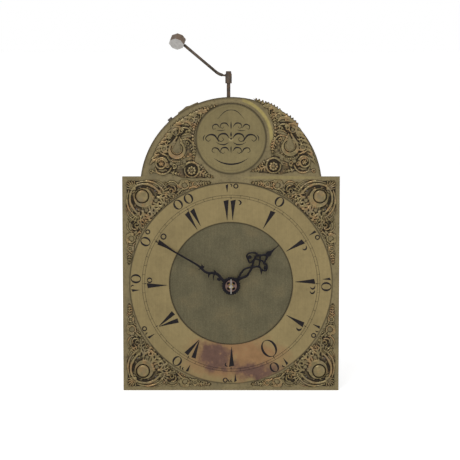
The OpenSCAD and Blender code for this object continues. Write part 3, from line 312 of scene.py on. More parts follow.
def aged_sheet_brass():
    """Sheet brass, scraped flat and never lacquered. It gives a mottled olive-brown skin, a
    matted centre that scatters light, and clean yellow metal where a casting has slipped off."""
    tree, shader, where = begin("aged_sheet_brass", 0.75, 0.5)
    place = add(tree, "ShaderNodeSeparateXYZ", {0: where}).outputs
    base = tuple(colours().dial_brass)
    skin = patches(tree, where, 26, [(0.3, shade(base, 0.78, (0.98, 1, 1.06))), (0.5, base),
                                     (0.72, shade(base, 1.14))])
    specks = patches(tree, where, 3.2, [(0.34, 0.62), (0.5, 1.0), (0.7, 1.1)], 3, 0.7)
    skin = layered(tree, skin, (0.55, specks, "MULTIPLY"))
    clouds = patches(tree, where, 9, [(0.36, 0.62), (0.55, 1.0)], 5)
    rear = layered(tree, skin, (0.6, clouds, "MULTIPLY"))
    # painted contact shade on the plate round the ring's outer edge
    skin = grimed(tree, where, skin, RING_Z, [(RING_R, 1.6)])
    arch_r, arch_z, shoulder = arch()
    # darker along the arch's rim, and painted shade on the plate round the boss
    upper = grimed(tree, where, skin, arch_z, [(arch_r, -3.6)])
    upper = grimed(tree, where, upper, BOSS_Z, [(BOSS_R, 2.2)])
    above = add(tree, "ShaderNodeMath", {0: place["Z"], 1: shoulder * MM},
                operation="GREATER_THAN").outputs[0]
    matt = tuple(colours().matted_brass)
    centre = patches(tree, where, 34, [(0.32, shade(matt, 0.82)), (0.5, matt),
                                       (0.7, shade(matt, 1.12, (1.06, 1, 0.95)))])
    punched = patches(tree, where, 1.4, [(0.3, 0.7), (0.7, 1.25)], 2)
    centre = wiped(tree, where, layered(tree, centre, (0.5, punched, "MULTIPLY")), 0.7)
    # painted contact shade on the matted centre along the ring's inner edge
    centre = grimed(tree, where, centre, RING_Z, [(RING_INNER_R, -1.8)])
    radius = sizes().matt_radius / MM
    inside = near(tree, where, (0, DIAL_FRONT, RING_Z), (radius, 400, radius), 0.004)
    clean = tuple(colours().clean_brass)
    clean = patches(tree, where, 7, [(0.3, shade(clean, 0.68)), (0.6, clean)])
    skin = layered(tree, skin, (above, upper, "MIX"), (inside, centre, "MIX"),
                   (bared(tree, where, place), clean, "MIX"))
    # the back of the plate was never matted or covered
    front = add(tree, "ShaderNodeMapRange", {"Value": place["Y"],
                                             "From Min": (DIAL_FRONT + 0.6) * MM,
                                             "From Max": (DIAL_FRONT + 0.3) * MM}).outputs[0]
    rough = add(tree, "ShaderNodeMapRange", {"Value": inside, "To Min": 0.46, "To Max": 0.62})
    stipple = add(tree, "ShaderNodeTexVoronoi", {"Vector": where, "Scale": 1 / (0.9 * MM)})
    height = add(tree, "ShaderNodeMath", {0: stipple.outputs["Distance"], 1: inside},
                 operation="MULTIPLY")
    dress(tree, shader, layered(tree, rear, (front, skin, "MIX")), rough.outputs[0],
          height.outputs[0], 0.35, 0.25)


def scraped_ring_brass():
    """Cast brass ring, scraped and stoned by hand. It is the palest metal of the dial, smooth to the
    eye, with faint cloudy tarnish, and a heat stain at its foot."""
    tree, shader, where = begin("scraped_ring_brass", 0.7, 0.42)
    base = tuple(colours().ring_brass)
    skin = patches(tree, where, 40, [(0.3, shade(base, 0.88)), (0.5, base),
                                     (0.72, shade(base, 1.1))], 5)
    clouds = patches(tree, where, 5, [(0.36, 0.88), (0.5, 1.0), (0.7, 1.05)], 4, 0.65)
    skin = wiped(tree, where, layered(tree, skin, (0.45, clouds, "MULTIPLY")), 0.5)
    # painted contact shade along the ring's outer and inner edges
    skin = grimed(tree, where, skin, RING_Z, [(RING_R, -1.6), (RING_INNER_R, 1.2)])
    # the stain's edge wanders by up to 30 mm across and 20 mm up
    ragged = add(tree, "ShaderNodeTexNoise", {"Vector": where, "Scale": 1 / (22 * MM), "Detail": 5.0,
                                              "Roughness": 0.62})
    wander = add(tree, "ShaderNodeVectorMath", {0: ragged.outputs["Color"], 1: (0.5, 0.5, 0.5)},
                 operation="SUBTRACT").outputs[0]
    moved = add(tree, "ShaderNodeVectorMath", {0: wander, 1: (0.06, 0.0, 0.04), 2: where},
                operation="MULTIPLY_ADD").outputs[0]
    edge = tuple(colours().stain_edge)
    heart = tuple(colours().stain)
    wide = near(tree, moved, (6, RING_FRONT, RING_Z - 106), (66, 60, 30), 0.35)
    rim = patches(tree, where, 12, [(0.3, shade(edge, 0.8)), (0.6, edge), (0.75, base)])
    deep = add(tree, "ShaderNodeMath", {
        0: near(tree, moved, (-24, RING_FRONT, RING_Z - 104), (22, 60, 20), 0.35),
        1: near(tree, moved, (30, RING_FRONT, RING_Z - 124), (34, 60, 10), 0.5)},
        operation="MAXIMUM").outputs[0]
    burnt = patches(tree, where, 7, [(0.3, shade(heart, 0.75)), (0.6, heart), (0.8, edge)])
    dress(tree, shader, layered(tree, skin, (wide, rim, "MIX"), (deep, burnt, "MIX")),
          patches(tree, where, 14, [(0.3, 0.36), (0.7, 0.5)]), grain(tree, where, 2.4), 0.12, 0.1)


def chased_cast_brass():
    """Sand-cast brass, chased with punches and once gilt. Its ridges are rubbed to bare metal and carry
    a painted highlight, its hollows hold old dirt with painted shade, and copper shows in patches where
    the gilding left."""
    tree, shader, where = begin("chased_cast_brass", 0.72, 0.46)
    base = tuple(colours().cast_brass)
    copper = (*colours().cast_copper, 1)
    grey = (*shade(base, 0.9, (1.0, 1.0, 1.4)), 1)
    skin = patches(tree, where, 7, [(0.38, shade(base, 0.78)), (0.52, base),
                                    (0.66, shade(base, 1.25))], 4)
    skin = layered(tree, skin, (patches(tree, where, 15, [(0.48, 0.0), (0.64, 0.6)], 3), copper, "MIX"),
                   (patches(tree, where, 11, [(0.5, 0.0), (0.66, 0.5)], 2), grey, "MIX"))
    wear_and_shade = add(tree, "ShaderNodeAttribute", attribute_name="wear_and_shade").outputs["Fac"]
    # hollows take the dirt colour as dirt and painted shade, crests a lighter tone as rubbed wear and a
    # painted highlight
    clear_of_shade = add(tree, "ShaderNodeMapRange", {"Value": wear_and_shade, "From Min": -0.42, "From Max": 0.05})
    crest_wear_and_highlight = add(tree, "ShaderNodeMapRange", {"Value": wear_and_shade, "From Min": 0.35, "From Max": 1.0,
                                             "To Max": 0.35})
    skin = layered(tree, (*colours().cast_dirt, 1), (clear_of_shade.outputs[0], skin, "MIX"),
                   (crest_wear_and_highlight.outputs[0], (*shade(base, 1.4), 1), "MIX"))
    rough = add(tree, "ShaderNodeMapRange", {"Value": wear_and_shade, "From Min": -0.4, "From Max": 0.5,
                                             "To Min": 0.8, "To Max": 0.36})
    dress(tree, shader, skin, rough.outputs[0], grain(tree, where, 0.9, 3.0), 0.4, 0.2)


def spun_boss_brass():
    """Brass disc, domed and polished before it was engraved. It is smooth, with a soft sheen,
    faint wiping marks and a little green-grey tarnish."""
    tree, shader, where = begin("spun_boss_brass", 0.7, 0.38)
    base = tuple(colours().boss_brass)
    skin = patches(tree, where, 30, [(0.3, shade(base, 0.88)), (0.5, base), (0.72, shade(base, 1.1))])
    clouds = patches(tree, where, 4, [(0.36, 0.84), (0.5, 1.0), (0.7, 1.05)], 4, 0.65)
    skin = wiped(tree, where, layered(tree, skin, (0.5, clouds, "MULTIPLY")), 0.6)
    # painted shade along the boss's edge
    dress(tree, shader, grimed(tree, where, skin, BOSS_Z, [(BOSS_R, -2.4)]))


def engravers_wax():
    """Black shellac wax, melted into the cuts and stoned level. It is matt and nearly black."""
    tree, shader, where = begin("engravers_wax", 0.0, 0.6)
    shader.inputs["Specular IOR Level"].default_value = 0.12
    base = tuple(colours().wax)
    dress(tree, shader, patches(tree, where, 6, [(0.3, base), (0.75, shade(base, 2.6, (1.1, 1, 0.9)))]),
          None, grain(tree, where, 0.8), 0.2, 0.05)


def hammered_plate_brass():
    """Cast brass, hammered hard and scraped. The movement's plates and pillars stay yellower than
    the dial, with brown tarnish in clouds and shallow hammer marks."""
    tree, shader, where = begin("hammered_plate_brass", 0.9, 0.4)
    base = tuple(colours().plate_brass)
    skin = patches(tree, where, 22, [(0.3, shade(base, 0.75, (1, 0.95, 0.88))), (0.5, base),
                                     (0.74, shade(base, 1.12))], 5)
    specks = patches(tree, where, 2.5, [(0.36, 0.7), (0.5, 1.0), (0.7, 1.08)], 3)
    dents = add(tree, "ShaderNodeTexVoronoi", {"Vector": where, "Scale": 1 / (7 * MM)},
                feature="SMOOTH_F1")
    dress(tree, shader, layered(tree, skin, (0.5, specks, "MULTIPLY")),
          patches(tree, where, 9, [(0.3, 0.5), (0.7, 0.32)]), dents.outputs["Distance"], 0.12, 0.3)


def turned_wheel_brass():
    """Brass blanks, turned and crossed out with a file. They are the brightest metal, with fine
    scratches and a brown tint in the corners."""
    tree, shader, where = begin("turned_wheel_brass", 1.0, 0.34)
    base = tuple(colours().wheel_brass)
    skin = patches(tree, where, 12, [(0.3, shade(base, 0.72, (1, 0.95, 0.85))), (0.55, base),
                                     (0.75, shade(base, 1.1))])
    dress(tree, shader, skin, patches(tree, where, 3, [(0.3, 0.46), (0.7, 0.28)]),
          grain(tree, where, 6, 3.0, (1, 1, 14), 0.9), 0.18, 0.1)


def turned_arbor_steel():
    """Steel, turned between centres and burnished. Bright grey with brown specks of old oil."""
    tree, shader, where = begin("turned_arbor_steel", 1.0, 0.3)
    base = tuple(colours().arbor_steel)
    skin = patches(tree, where, 4, [(0.3, shade(base, 0.4, (1.1, 0.95, 0.8))), (0.45, base),
                                    (0.75, shade(base, 1.2))], 4)
    rings = add(tree, "ShaderNodeTexWave", {"Vector": where, "Scale": 1 / (9 * MM),
                                            "Distortion": 0.4}, bands_direction="Y")
    dress(tree, shader, skin, patches(tree, where, 3, [(0.35, 0.5), (0.6, 0.26)]),
          rings.outputs["Fac"], 0.08, 0.05)


def filed_lever_steel():
    """Forged steel, filed and left from the file. Grey, with long straight file marks and brown
    bloom in the hollows."""
    tree, shader, where = begin("filed_lever_steel", 1.0, 0.42)
    base = tuple(colours().lever_steel)
    skin = patches(tree, where, 8, [(0.32, shade(base, 0.5, (1.15, 0.95, 0.8))), (0.5, base),
                                    (0.72, shade(base, 1.3))], 5)
    dress(tree, shader, skin, patches(tree, where, 5, [(0.3, 0.55), (0.7, 0.34)]),
          grain(tree, where, 1.2, 2.0, (0.15, 1, 3), 0.5), 0.3, 0.08)


def flame_blued_steel():
    """Steel, filed to a bevel, polished and blued over a flame, now nearly black. It has a low
    gloss and brown freckles."""
    tree, shader, where = begin("flame_blued_steel", 0.25, 0.5)
    shader.inputs["Specular IOR Level"].default_value = 0.12
    base = tuple(colours().blued_steel)
    skin = patches(tree, where, 5, [(0.3, shade(base, 0.7)), (0.55, base),
                                    (0.75, shade(base, 1.7, (1.2, 1, 0.85)))], 4)
    dress(tree, shader, skin, patches(tree, where, 2, [(0.3, 0.34), (0.7, 0.52)]),
          grain(tree, where, 1.1, 3.0), 0.2, 0.06)


def old_wrought_iron():
    """Wrought iron, forged and browned by age. Dark and dull, with rust bloom and a drawn grain."""
    tree, shader, where = begin("old_wrought_iron", 0.6, 0.58)
    base = tuple(colours().dark_iron)
    skin = patches(tree, where, 6, [(0.3, shade(base, 0.6)), (0.5, base),
                                    (0.7, shade(base, 1.5, (1.25, 1, 0.8)))], 5)
    dress(tree, shader, skin, patches(tree, where, 3, [(0.3, 0.48), (0.7, 0.7)]),
          grain(tree, where, 1.5, 4.0, (1, 1, 0.25)), 0.45, 0.15)


def browned_hammer_steel():
    """Steel block, filed with flats and browned, its front face rubbed pale. Brown sides with soft
    grey edges and fine file marks."""
    tree, shader, where = begin("browned_hammer_steel", 0.6, 0.5)
    base = tuple(colours().hammer_steel)
    bright = tuple(colours().hammer_face)
    skin = patches(tree, where, 5, [(0.3, shade(base, 0.7)), (0.5, base),
                                    (0.72, shade(base, 1.25))], 4)
    facing = add(tree, "ShaderNodeVectorMath", {
        0: add(tree, "ShaderNodeTexCoord").outputs["Normal"], 1: HAMMER_FACING},
        operation="DOT_PRODUCT").outputs["Value"]
    front = add(tree, "ShaderNodeMapRange", {"Value": facing, "From Min": 0.85, "From Max": 0.95})
    pale = patches(tree, where, 3, [(0.3, shade(bright, 0.8)), (0.6, bright)], 3)
    dress(tree, shader, layered(tree, skin, (front.outputs[0], pale, "MIX")), None,
          grain(tree, where, 0.9, 2.0, (0.2, 1, 2)), 0.3, 0.08)


def turned_screw_steel():
    """Turned steel with a hand-cut slot, darkened by age. Dark grey-brown with a worn crown."""
    tree, shader, where = begin("turned_screw_steel", 0.8, 0.42)
    base = tuple(colours().screw_steel)
    skin = patches(tree, where, 2, [(0.3, shade(base, 0.6)), (0.5, base), (0.75, shade(base, 1.6))], 3)
    dress(tree, shader, skin, None, grain(tree, where, 0.6), 0.3, 0.05)


def copper_pink_brass():
    """Brass washer, domed in a punch and heated, so that copper came up. Pinkish, with painted shade in
    the hollows round its cuts."""
    tree, shader, where = begin("copper_pink_brass", 0.8, 0.4)
    base = tuple(colours().copper_brass)
    skin = patches(tree, where, 3, [(0.3, shade(base, 0.7)), (0.5, base), (0.72, shade(base, 1.2))])
    wear_and_shade = add(tree, "ShaderNodeAttribute", attribute_name="wear_and_shade").outputs["Fac"]
    # painted shade: the hollows round the cuts and the washer's edge are darkened
    clear_of_shade = add(tree, "ShaderNodeMapRange", {"Value": wear_and_shade, "From Min": -0.3, "From Max": 0.0})
    skin = layered(tree, (*shade(base, 0.35), 1), (clear_of_shade.outputs[0], skin, "MIX"))
    dress(tree, shader, skin, None, grain(tree, where, 0.7), 0.15, 0.05)


def bright_pin_steel():
    """Drawn steel wire, tapered with a file. The brightest small piece, with fine filed bands."""
    tree, shader, where = begin("bright_pin_steel", 0.9, 0.28)
    base = tuple(colours().pin_steel)
    skin = patches(tree, where, 3, [(0.3, shade(base, 0.75)), (0.5, base)], 3)
    dress(tree, shader, skin, None, grain(tree, where, 0.8), 0.2, 0.05)


# The finish of each of the record's material slots. Wax has no slot, because only this script adds it
FINISHES = {
    "dial_brass": aged_sheet_brass,
    "ring_brass": scraped_ring_brass,
    "cast_brass": chased_cast_brass,
    "boss_brass": spun_boss_brass,
    "plate_brass": hammered_plate_brass,
    "wheel_brass": turned_wheel_brass,
    "arbor_steel": turned_arbor_steel,
    "lever_steel": filed_lever_steel,
    "blued_steel": flame_blued_steel,
    "dark_iron": old_wrought_iron,
    "hammer_steel": browned_hammer_steel,
    "screw_steel": turned_screw_steel,
    "copper_brass": copper_pink_brass,
    "pin_steel": bright_pin_steel,
}


# Meshes

def put(name, mesh, material, replaced, sharp, body):
    """Puts a mesh in the scene as a piece, with its material, its body and what it stands for."""
    mesh.shade_smooth()
    mesh.set_sharp_from_angle(angle=math.radians(sharp))
    mesh.materials.clear()
    mesh.materials.append(bpy.data.materials[material])
    piece = bpy.data.objects.new(name, mesh)
    bpy.context.scene.collection.objects.link(piece)
    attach(piece, body)
    if replaced:
        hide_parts(*replaced)


def piece_from(name, verts, faces, material, replaced=(), wear_and_shade=None, sharp=40, body="frame"):
    """A new piece from points in the frame's metres, with the wear and shade value of each point, which
    finishes show as wear, dirt, painted highlight and painted shade.
    """
    mesh = bpy.data.meshes.new(name)
    mesh.from_pydata(verts.tolist(), [], faces.tolist())
    if wear_and_shade is not None:
        mesh.attributes.new("wear_and_shade", "FLOAT", "POINT").data.foreach_set("value", wear_and_shade)
    work = bmesh.new()
    work.from_mesh(mesh)
    bmesh.ops.recalc_face_normals(work, faces=work.faces)
    work.to_mesh(mesh)
    work.free()
    put(name, mesh, material, replaced, sharp, body)


def curve_through(points, step=1.3):
    """Points of a smooth line through rows of (a, b, half width)."""
    rows = np.array(points, float)
    if len(rows) < 3:
        return rows
    ends = np.vstack([2 * rows[0] - rows[1], rows, 2 * rows[-1] - rows[-2]])
    made = []
    for p, q, r, s in zip(ends, ends[1:], ends[2:], ends[3:]):
        count = max(2, math.ceil(np.hypot(*(r - q)[:2]) / step))
        t = np.linspace(0, 1, count, endpoint=False)[:, None]
        made.append(0.5 * (2 * q + (r - p) * t + (2 * p - 5 * q + 4 * r - s) * t ** 2
                           + (3 * q - p - 3 * r + s) * t ** 3))
    line = np.vstack([*made, rows[-1:]])
    line[:, 2] = np.maximum(line[:, 2], 0.05)
    return line


def stroke(kind, level, *points):
    """One stroke of a relief: what it does, its height in mm, and its rows of (a, b, half width)."""
    return kind, level, curve_through(points)


def spiral(kind, level, centre, start_r, end_r, start_deg, turn_deg, start_w, end_w, steps=18):
    """A scroll that winds from start_r to end_r, tapering from start_w to end_w."""
    t = np.linspace(0, 1, steps)
    angle = np.radians(start_deg + turn_deg * t)
    radius = start_r + (end_r - start_r) * t
    return kind, level, np.column_stack([
        centre[0] + radius * np.cos(angle), centre[1] + radius * np.sin(angle),
        start_w + (end_w - start_w) * t])


def hole(*rows):
    """An opening along rows of (a, b, half width)."""
    return "hole", 0, np.array(rows, float)


def fan(level, root, tips, half):
    """Ribs of a shell or a spread leaf, from one root."""
    return [stroke("ridge", level, (*root, half * 0.5), ((root[0] + 2 * t[0]) / 3, (
        root[1] + 2 * t[1]) / 3, half), (*t, half * 0.6)) for t in tips]


def beads(level, centre, radius, start_deg, end_deg, count, half):
    """A row of beads along an arc."""
    return [("round", level, np.array([[centre[0] + radius * math.cos(a),
                                        centre[1] + radius * math.sin(a), half]]))
            for a in np.radians(np.linspace(start_deg, end_deg, count))]


def leaf(level, points, half, lobes=5):
    """An acanthus leaf: a midrib with lobes that lean forward on both sides."""
    line = curve_through([(*p, 1) for p in points], 0.6)[:, :2]
    made = [("ridge", level, np.column_stack([line, np.linspace(half * 0.5, 0.4, len(line))]))]
    for k in range(1, lobes + 1):
        at = int(len(line) * (k - 0.5) / (lobes + 0.5))
        way = line[min(at + 1, len(line) - 1)] - line[max(at - 1, 0)]
        way = way / (np.hypot(*way) + 1e-9)
        side = np.array([-way[1], way[0]])
        size = half * (1.15 - 0.6 * k / lobes)
        for hand in (-1, 1):
            tip = line[at] + way * size * 0.9 + side * hand * size * 1.1
            made.append(stroke("round", level * 0.9, (*line[at], size * 0.42), (*tip, size * 0.34)))
    return made


PROFILES = {
    "round": lambda q: np.sqrt(np.clip(1 - q * q, 0, 1)),
    "ridge": lambda q: np.clip(1 - q, 0, 1) ** 0.8,
    "flute": lambda q: (0.62 + 0.38 * np.cos(3 * np.pi * q)) * np.sqrt(np.clip(1 - q ** 4, 0, 1)),
    "flat": lambda q: np.clip((1 - q) * 7, 0, 1),
}
GROUND_SHARE = 0.42  # part of a stroke's height that stands up at its very edge
MIDDLE_HEIGHT = 1.35  # mm: higher points get rubbed wear and a painted highlight, and lower ones dirt and painted shade
RIM_SHARE = 0.62  # height of a rim point, as a part of its neighbours'
# wear and shade value of points on a relief's outline: a little painted shade along its edge
RIM_SHADE = -0.1
OUTSIDE = -5.0  # mm: reach of a point that no stroke comes near
FAR = 9.0  # starting value of the distances that strokes make smaller
ROOM = 2.2  # mm round a stroke that it can still change
UNEVEN = 0.16  # mm: spread of each of the two sizes of unevenness


def draw(a, b, strokes, margin):
    """Height and reach of strokes on a grid. Reach is how far a point lies inside the outline."""
    grid_a, grid_b = np.meshgrid(a, b, indexing="ij")
    reach = np.full(grid_a.shape, OUTSIDE)
    height = np.zeros(grid_a.shape)
    for kind, level, path in strokes:
        room = path[:, 2].max() + ROOM
        span = (slice(*np.searchsorted(a, [path[:, 0].min() - room, path[:, 0].max() + room])),
                slice(*np.searchsorted(b, [path[:, 1].min() - room, path[:, 1].max() + room])))
        here_a, here_b = grid_a[span], grid_b[span]
        if not here_a.size:
            continue
        share = np.full(here_a.shape, FAR)
        gap = np.full(here_a.shape, FAR)
        for p, r in zip(path, path[1:] if len(path) > 1 else path):
            run = r[:2] - p[:2]
            square = run @ run
            t = 0.0 if square < 1e-9 else np.clip(
                ((here_a - p[0]) * run[0] + (here_b - p[1]) * run[1]) / square, 0, 1)
            half = p[2] + (r[2] - p[2]) * t
            away = np.hypot(here_a - p[0] - t * run[0], here_b - p[1] - t * run[1])
            share = np.minimum(share, away / half)
            gap = np.minimum(gap, away - half)
        if kind == "hole":
            reach[span] = np.minimum(reach[span], gap)
        elif kind == "dip":
            bed = level + (height[span] - level) * np.clip(share, 0, 1) ** 2
            height[span] = np.where(share < 1, np.minimum(height[span], bed), height[span])
        else:
            rise = level * (GROUND_SHARE + (1 - GROUND_SHARE) * PROFILES[kind](share))
            height[span] = np.where(share < 1, np.maximum(height[span], rise), height[span])
            reach[span] = np.maximum(reach[span], margin - gap)
    return reach, height


def soften(values, weight, times=3, size=2):
    """A blurred copy of a map, which takes in only where weight is."""
    total, count = values * weight, weight.astype(float)
    for _ in range(times):
        for axis in (0, 1):
            total = sum(np.roll(total, k, axis) for k in range(-size, size + 1))
            count = sum(np.roll(count, k, axis) for k in range(-size, size + 1))
    return np.where(count > 0, total / np.maximum(count, 1e-9), 0)


def whole_cells(inside, reach):
    """The grid cells that a relief covers. Where two cells would meet by a corner only, and leave
    the solid unclosed, the point between them is filled first."""
    for _ in range(6):
        cells = inside[:-1, :-1] | inside[1:, :-1] | inside[:-1, 1:] | inside[1:, 1:]
        full = np.pad(cells, 1)
        c00, c10, c01, c11 = full[:-1, :-1], full[1:, :-1], full[:-1, 1:], full[1:, 1:]
        pinch = (c00 & c11 & ~c10 & ~c01) | (c10 & c01 & ~c00 & ~c11)
        pinch[[0, -1], :] = False
        pinch[:, [0, -1]] = False
        if not pinch.any():
            break
        inside |= pinch
        reach[pinch] = 0.05
    return cells


def pulled_rim(a, b, inside, reach, height):
    """Pulls the points just outside the outline onto it, so that edges run smoothly. Gives which
    points those are, and where and how high each point of the grid now lies."""
    grid_a, grid_b = np.meshgrid(a, b, indexing="ij")
    pulled = [np.zeros(grid_a.shape) for _ in range(4)]
    for i, j in [(i, j) for i in (-1, 0, 1) for j in (-1, 0, 1) if i or j]:
        other = np.roll(inside, (i, j), (0, 1)) & ~inside
        to = np.roll(reach, (i, j), (0, 1))
        t = np.where(other, -reach / np.maximum(to - reach, 1e-6), 0)
        for total, value in zip(pulled, (grid_a, grid_b)):
            total += np.where(other, value + t * (np.roll(value, (i, j), (0, 1)) - value), 0)
        pulled[2] += np.where(other, np.roll(height, (i, j), (0, 1)), 0)
        pulled[3] += other
    rim = (pulled[3] > 0) & ~inside
    count = np.maximum(pulled[3], 1)
    return (rim, np.where(rim, pulled[0] / count, grid_a), np.where(rim, pulled[1] / count, grid_b),
            np.where(rim, pulled[2] / count * RIM_SHARE, height))


def solid(cells, used, put_a, put_b, height):
    """Points and faces of a solid that stands on height 0 under the grid's cells."""
    index = np.full(used.shape, -1)
    index[used] = np.arange(used.sum())
    total = int(used.sum())
    top = np.column_stack([put_a[used], put_b[used], height[used]])
    low = np.column_stack([put_a[used], put_b[used], np.zeros(total)])
    i, j = np.nonzero(cells)
    quads = np.column_stack([index[i, j], index[i + 1, j], index[i + 1, j + 1], index[i, j + 1]])
    walls = []
    full = np.pad(cells, 1)
    for one, two, step in ((full[1:-1, :-1], full[1:-1, 1:], (1, 0)),
                           (full[:-1, 1:-1], full[1:, 1:-1], (0, 1))):
        i, j = np.nonzero(one ^ two)
        start, end = index[i, j], index[i + step[0], j + step[1]]
        walls.append(np.column_stack([start, end, end + total, start + total]))
    return np.vstack([top, low]), np.vstack([quads, quads[:, ::-1] + total, *walls])


def relief(a, b, reach, height, floor=0.8):
    """Closes a height map into a solid: rows of (a, b, height), faces and the wear and shade value of
    each point. It is high where a point stands above those round it, and above middle height, which
    finishes show as rubbed wear with a painted highlight; low values show as dirt with painted shade."""
    height = np.maximum(height, floor)
    inside = reach > 0
    inside[[0, -1], :] = False
    inside[:, [0, -1]] = False
    reach = np.where(inside, reach, np.minimum(reach, -0.02))
    cells = whole_cells(inside, reach)
    rim, put_a, put_b, put_height = pulled_rim(a, b, inside, reach, height)
    wear_and_shade = height - soften(height, inside) + 0.3 * (height - MIDDLE_HEIGHT)
    wear_and_shade = np.where(rim, RIM_SHADE, wear_and_shade)
    used = inside | rim
    verts, faces = solid(cells, used, put_a, put_b, put_height)
    return verts, faces, np.concatenate([wear_and_shade[used], np.zeros(len(verts) - used.sum())])


def strips(rows, front, back):
    """Closed prisms from pairs of (left, right) edges, between two surfaces given by x and z."""
    verts, faces, first = [], [], 0
    for left, right, closed in rows:
        n = len(left)
        for edge, depth in ((left, front), (right, front), (left, back), (right, back)):
            verts.append(np.column_stack([edge[:, 0], depth(edge[:, 0], edge[:, 1]), edge[:, 1]]))
        k = np.arange(n if closed else n - 1)
        nxt = (k + 1) % n
        for one, two in ((0, 1), (1, 3), (3, 2), (2, 0)):
            faces.append(first + np.column_stack([one * n + k, two * n + k, two * n + nxt,
                                                  one * n + nxt]))
        if not closed:
            for end in (0, n - 1):
                faces.append(first + np.array([[end, n + end, 3 * n + end, 2 * n + end]]))
        first += 4 * n
    return np.vstack(verts) * MM, np.vstack(faces)


def ribbon(line, closed=False):
    """The left and right edges of a line of (x, z, half width)."""
    line = np.asarray(line, float)
    if closed:
        way = np.roll(line[:, :2], -1, 0) - np.roll(line[:, :2], 1, 0)
    else:
        way = np.gradient(line[:, :2], axis=0)
    way /= np.maximum(np.hypot(way[:, 0], way[:, 1]), 1e-9)[:, None]
    side = np.column_stack([-way[:, 1], way[:, 0]]) * line[:, 2:3]
    return line[:, :2] + side, line[:, :2] - side, closed


def oval(centre, half_a, half_b, thick, thin, steps=40):
    """A closed pen stroke, thick at its sides and thin at its ends."""
    t = np.linspace(0, 2 * math.pi, steps, endpoint=False)
    return ribbon(np.column_stack([centre[0] + half_a * np.cos(t), centre[1] + half_b * np.sin(t),
                                   thin + (thick - thin) * np.abs(np.cos(t)) ** 1.6]), True)


def hook(centre, half_a, half_b, start_deg, end_deg, thick, steps=16):
    """An open pen stroke along part of an oval, thickest in its middle."""
    t = np.radians(np.linspace(start_deg, end_deg, steps))
    swell = np.sin(np.linspace(0.12, math.pi - 0.12, steps))
    return ribbon(np.column_stack([centre[0] + half_a * np.cos(t), centre[1] + half_b * np.sin(t),
                                   0.12 + thick * swell]))


def on_ring(row, angle_deg):
    """Turns a figure drawn upright at 12 o'clock, with its height as radius, to its place."""
    a = math.radians(angle_deg)

    def turned(edge):
        x, r = edge[:, 0], edge[:, 1]
        return np.column_stack([x * math.cos(a) + r * math.sin(a),
                                RING_Z - x * math.sin(a) + r * math.cos(a)])
    left, right, closed = row
    return turned(left), turned(right), closed


def wedge(inner, outer, half, lean=0.0):
    """The slim wedge that stands for one, pointed inward, cut slanting at its outer end."""
    span = outer - inner
    left = [(-0.2, inner), (-half * 0.5, inner + span * 0.5), (-half * 0.84, inner + span * 0.84),
            (-half, outer - 1.2)]
    right = [(0.2, inner), (half * 0.5, inner + span * 0.5), (half * 0.84, inner + span * 0.84),
             (half, outer + 0.4)]
    lean = np.array([[lean * (r - inner) / span, 0] for _, r in left])
    return np.array(left) + lean, np.array(right) + lean, False


# Drawings of the castings

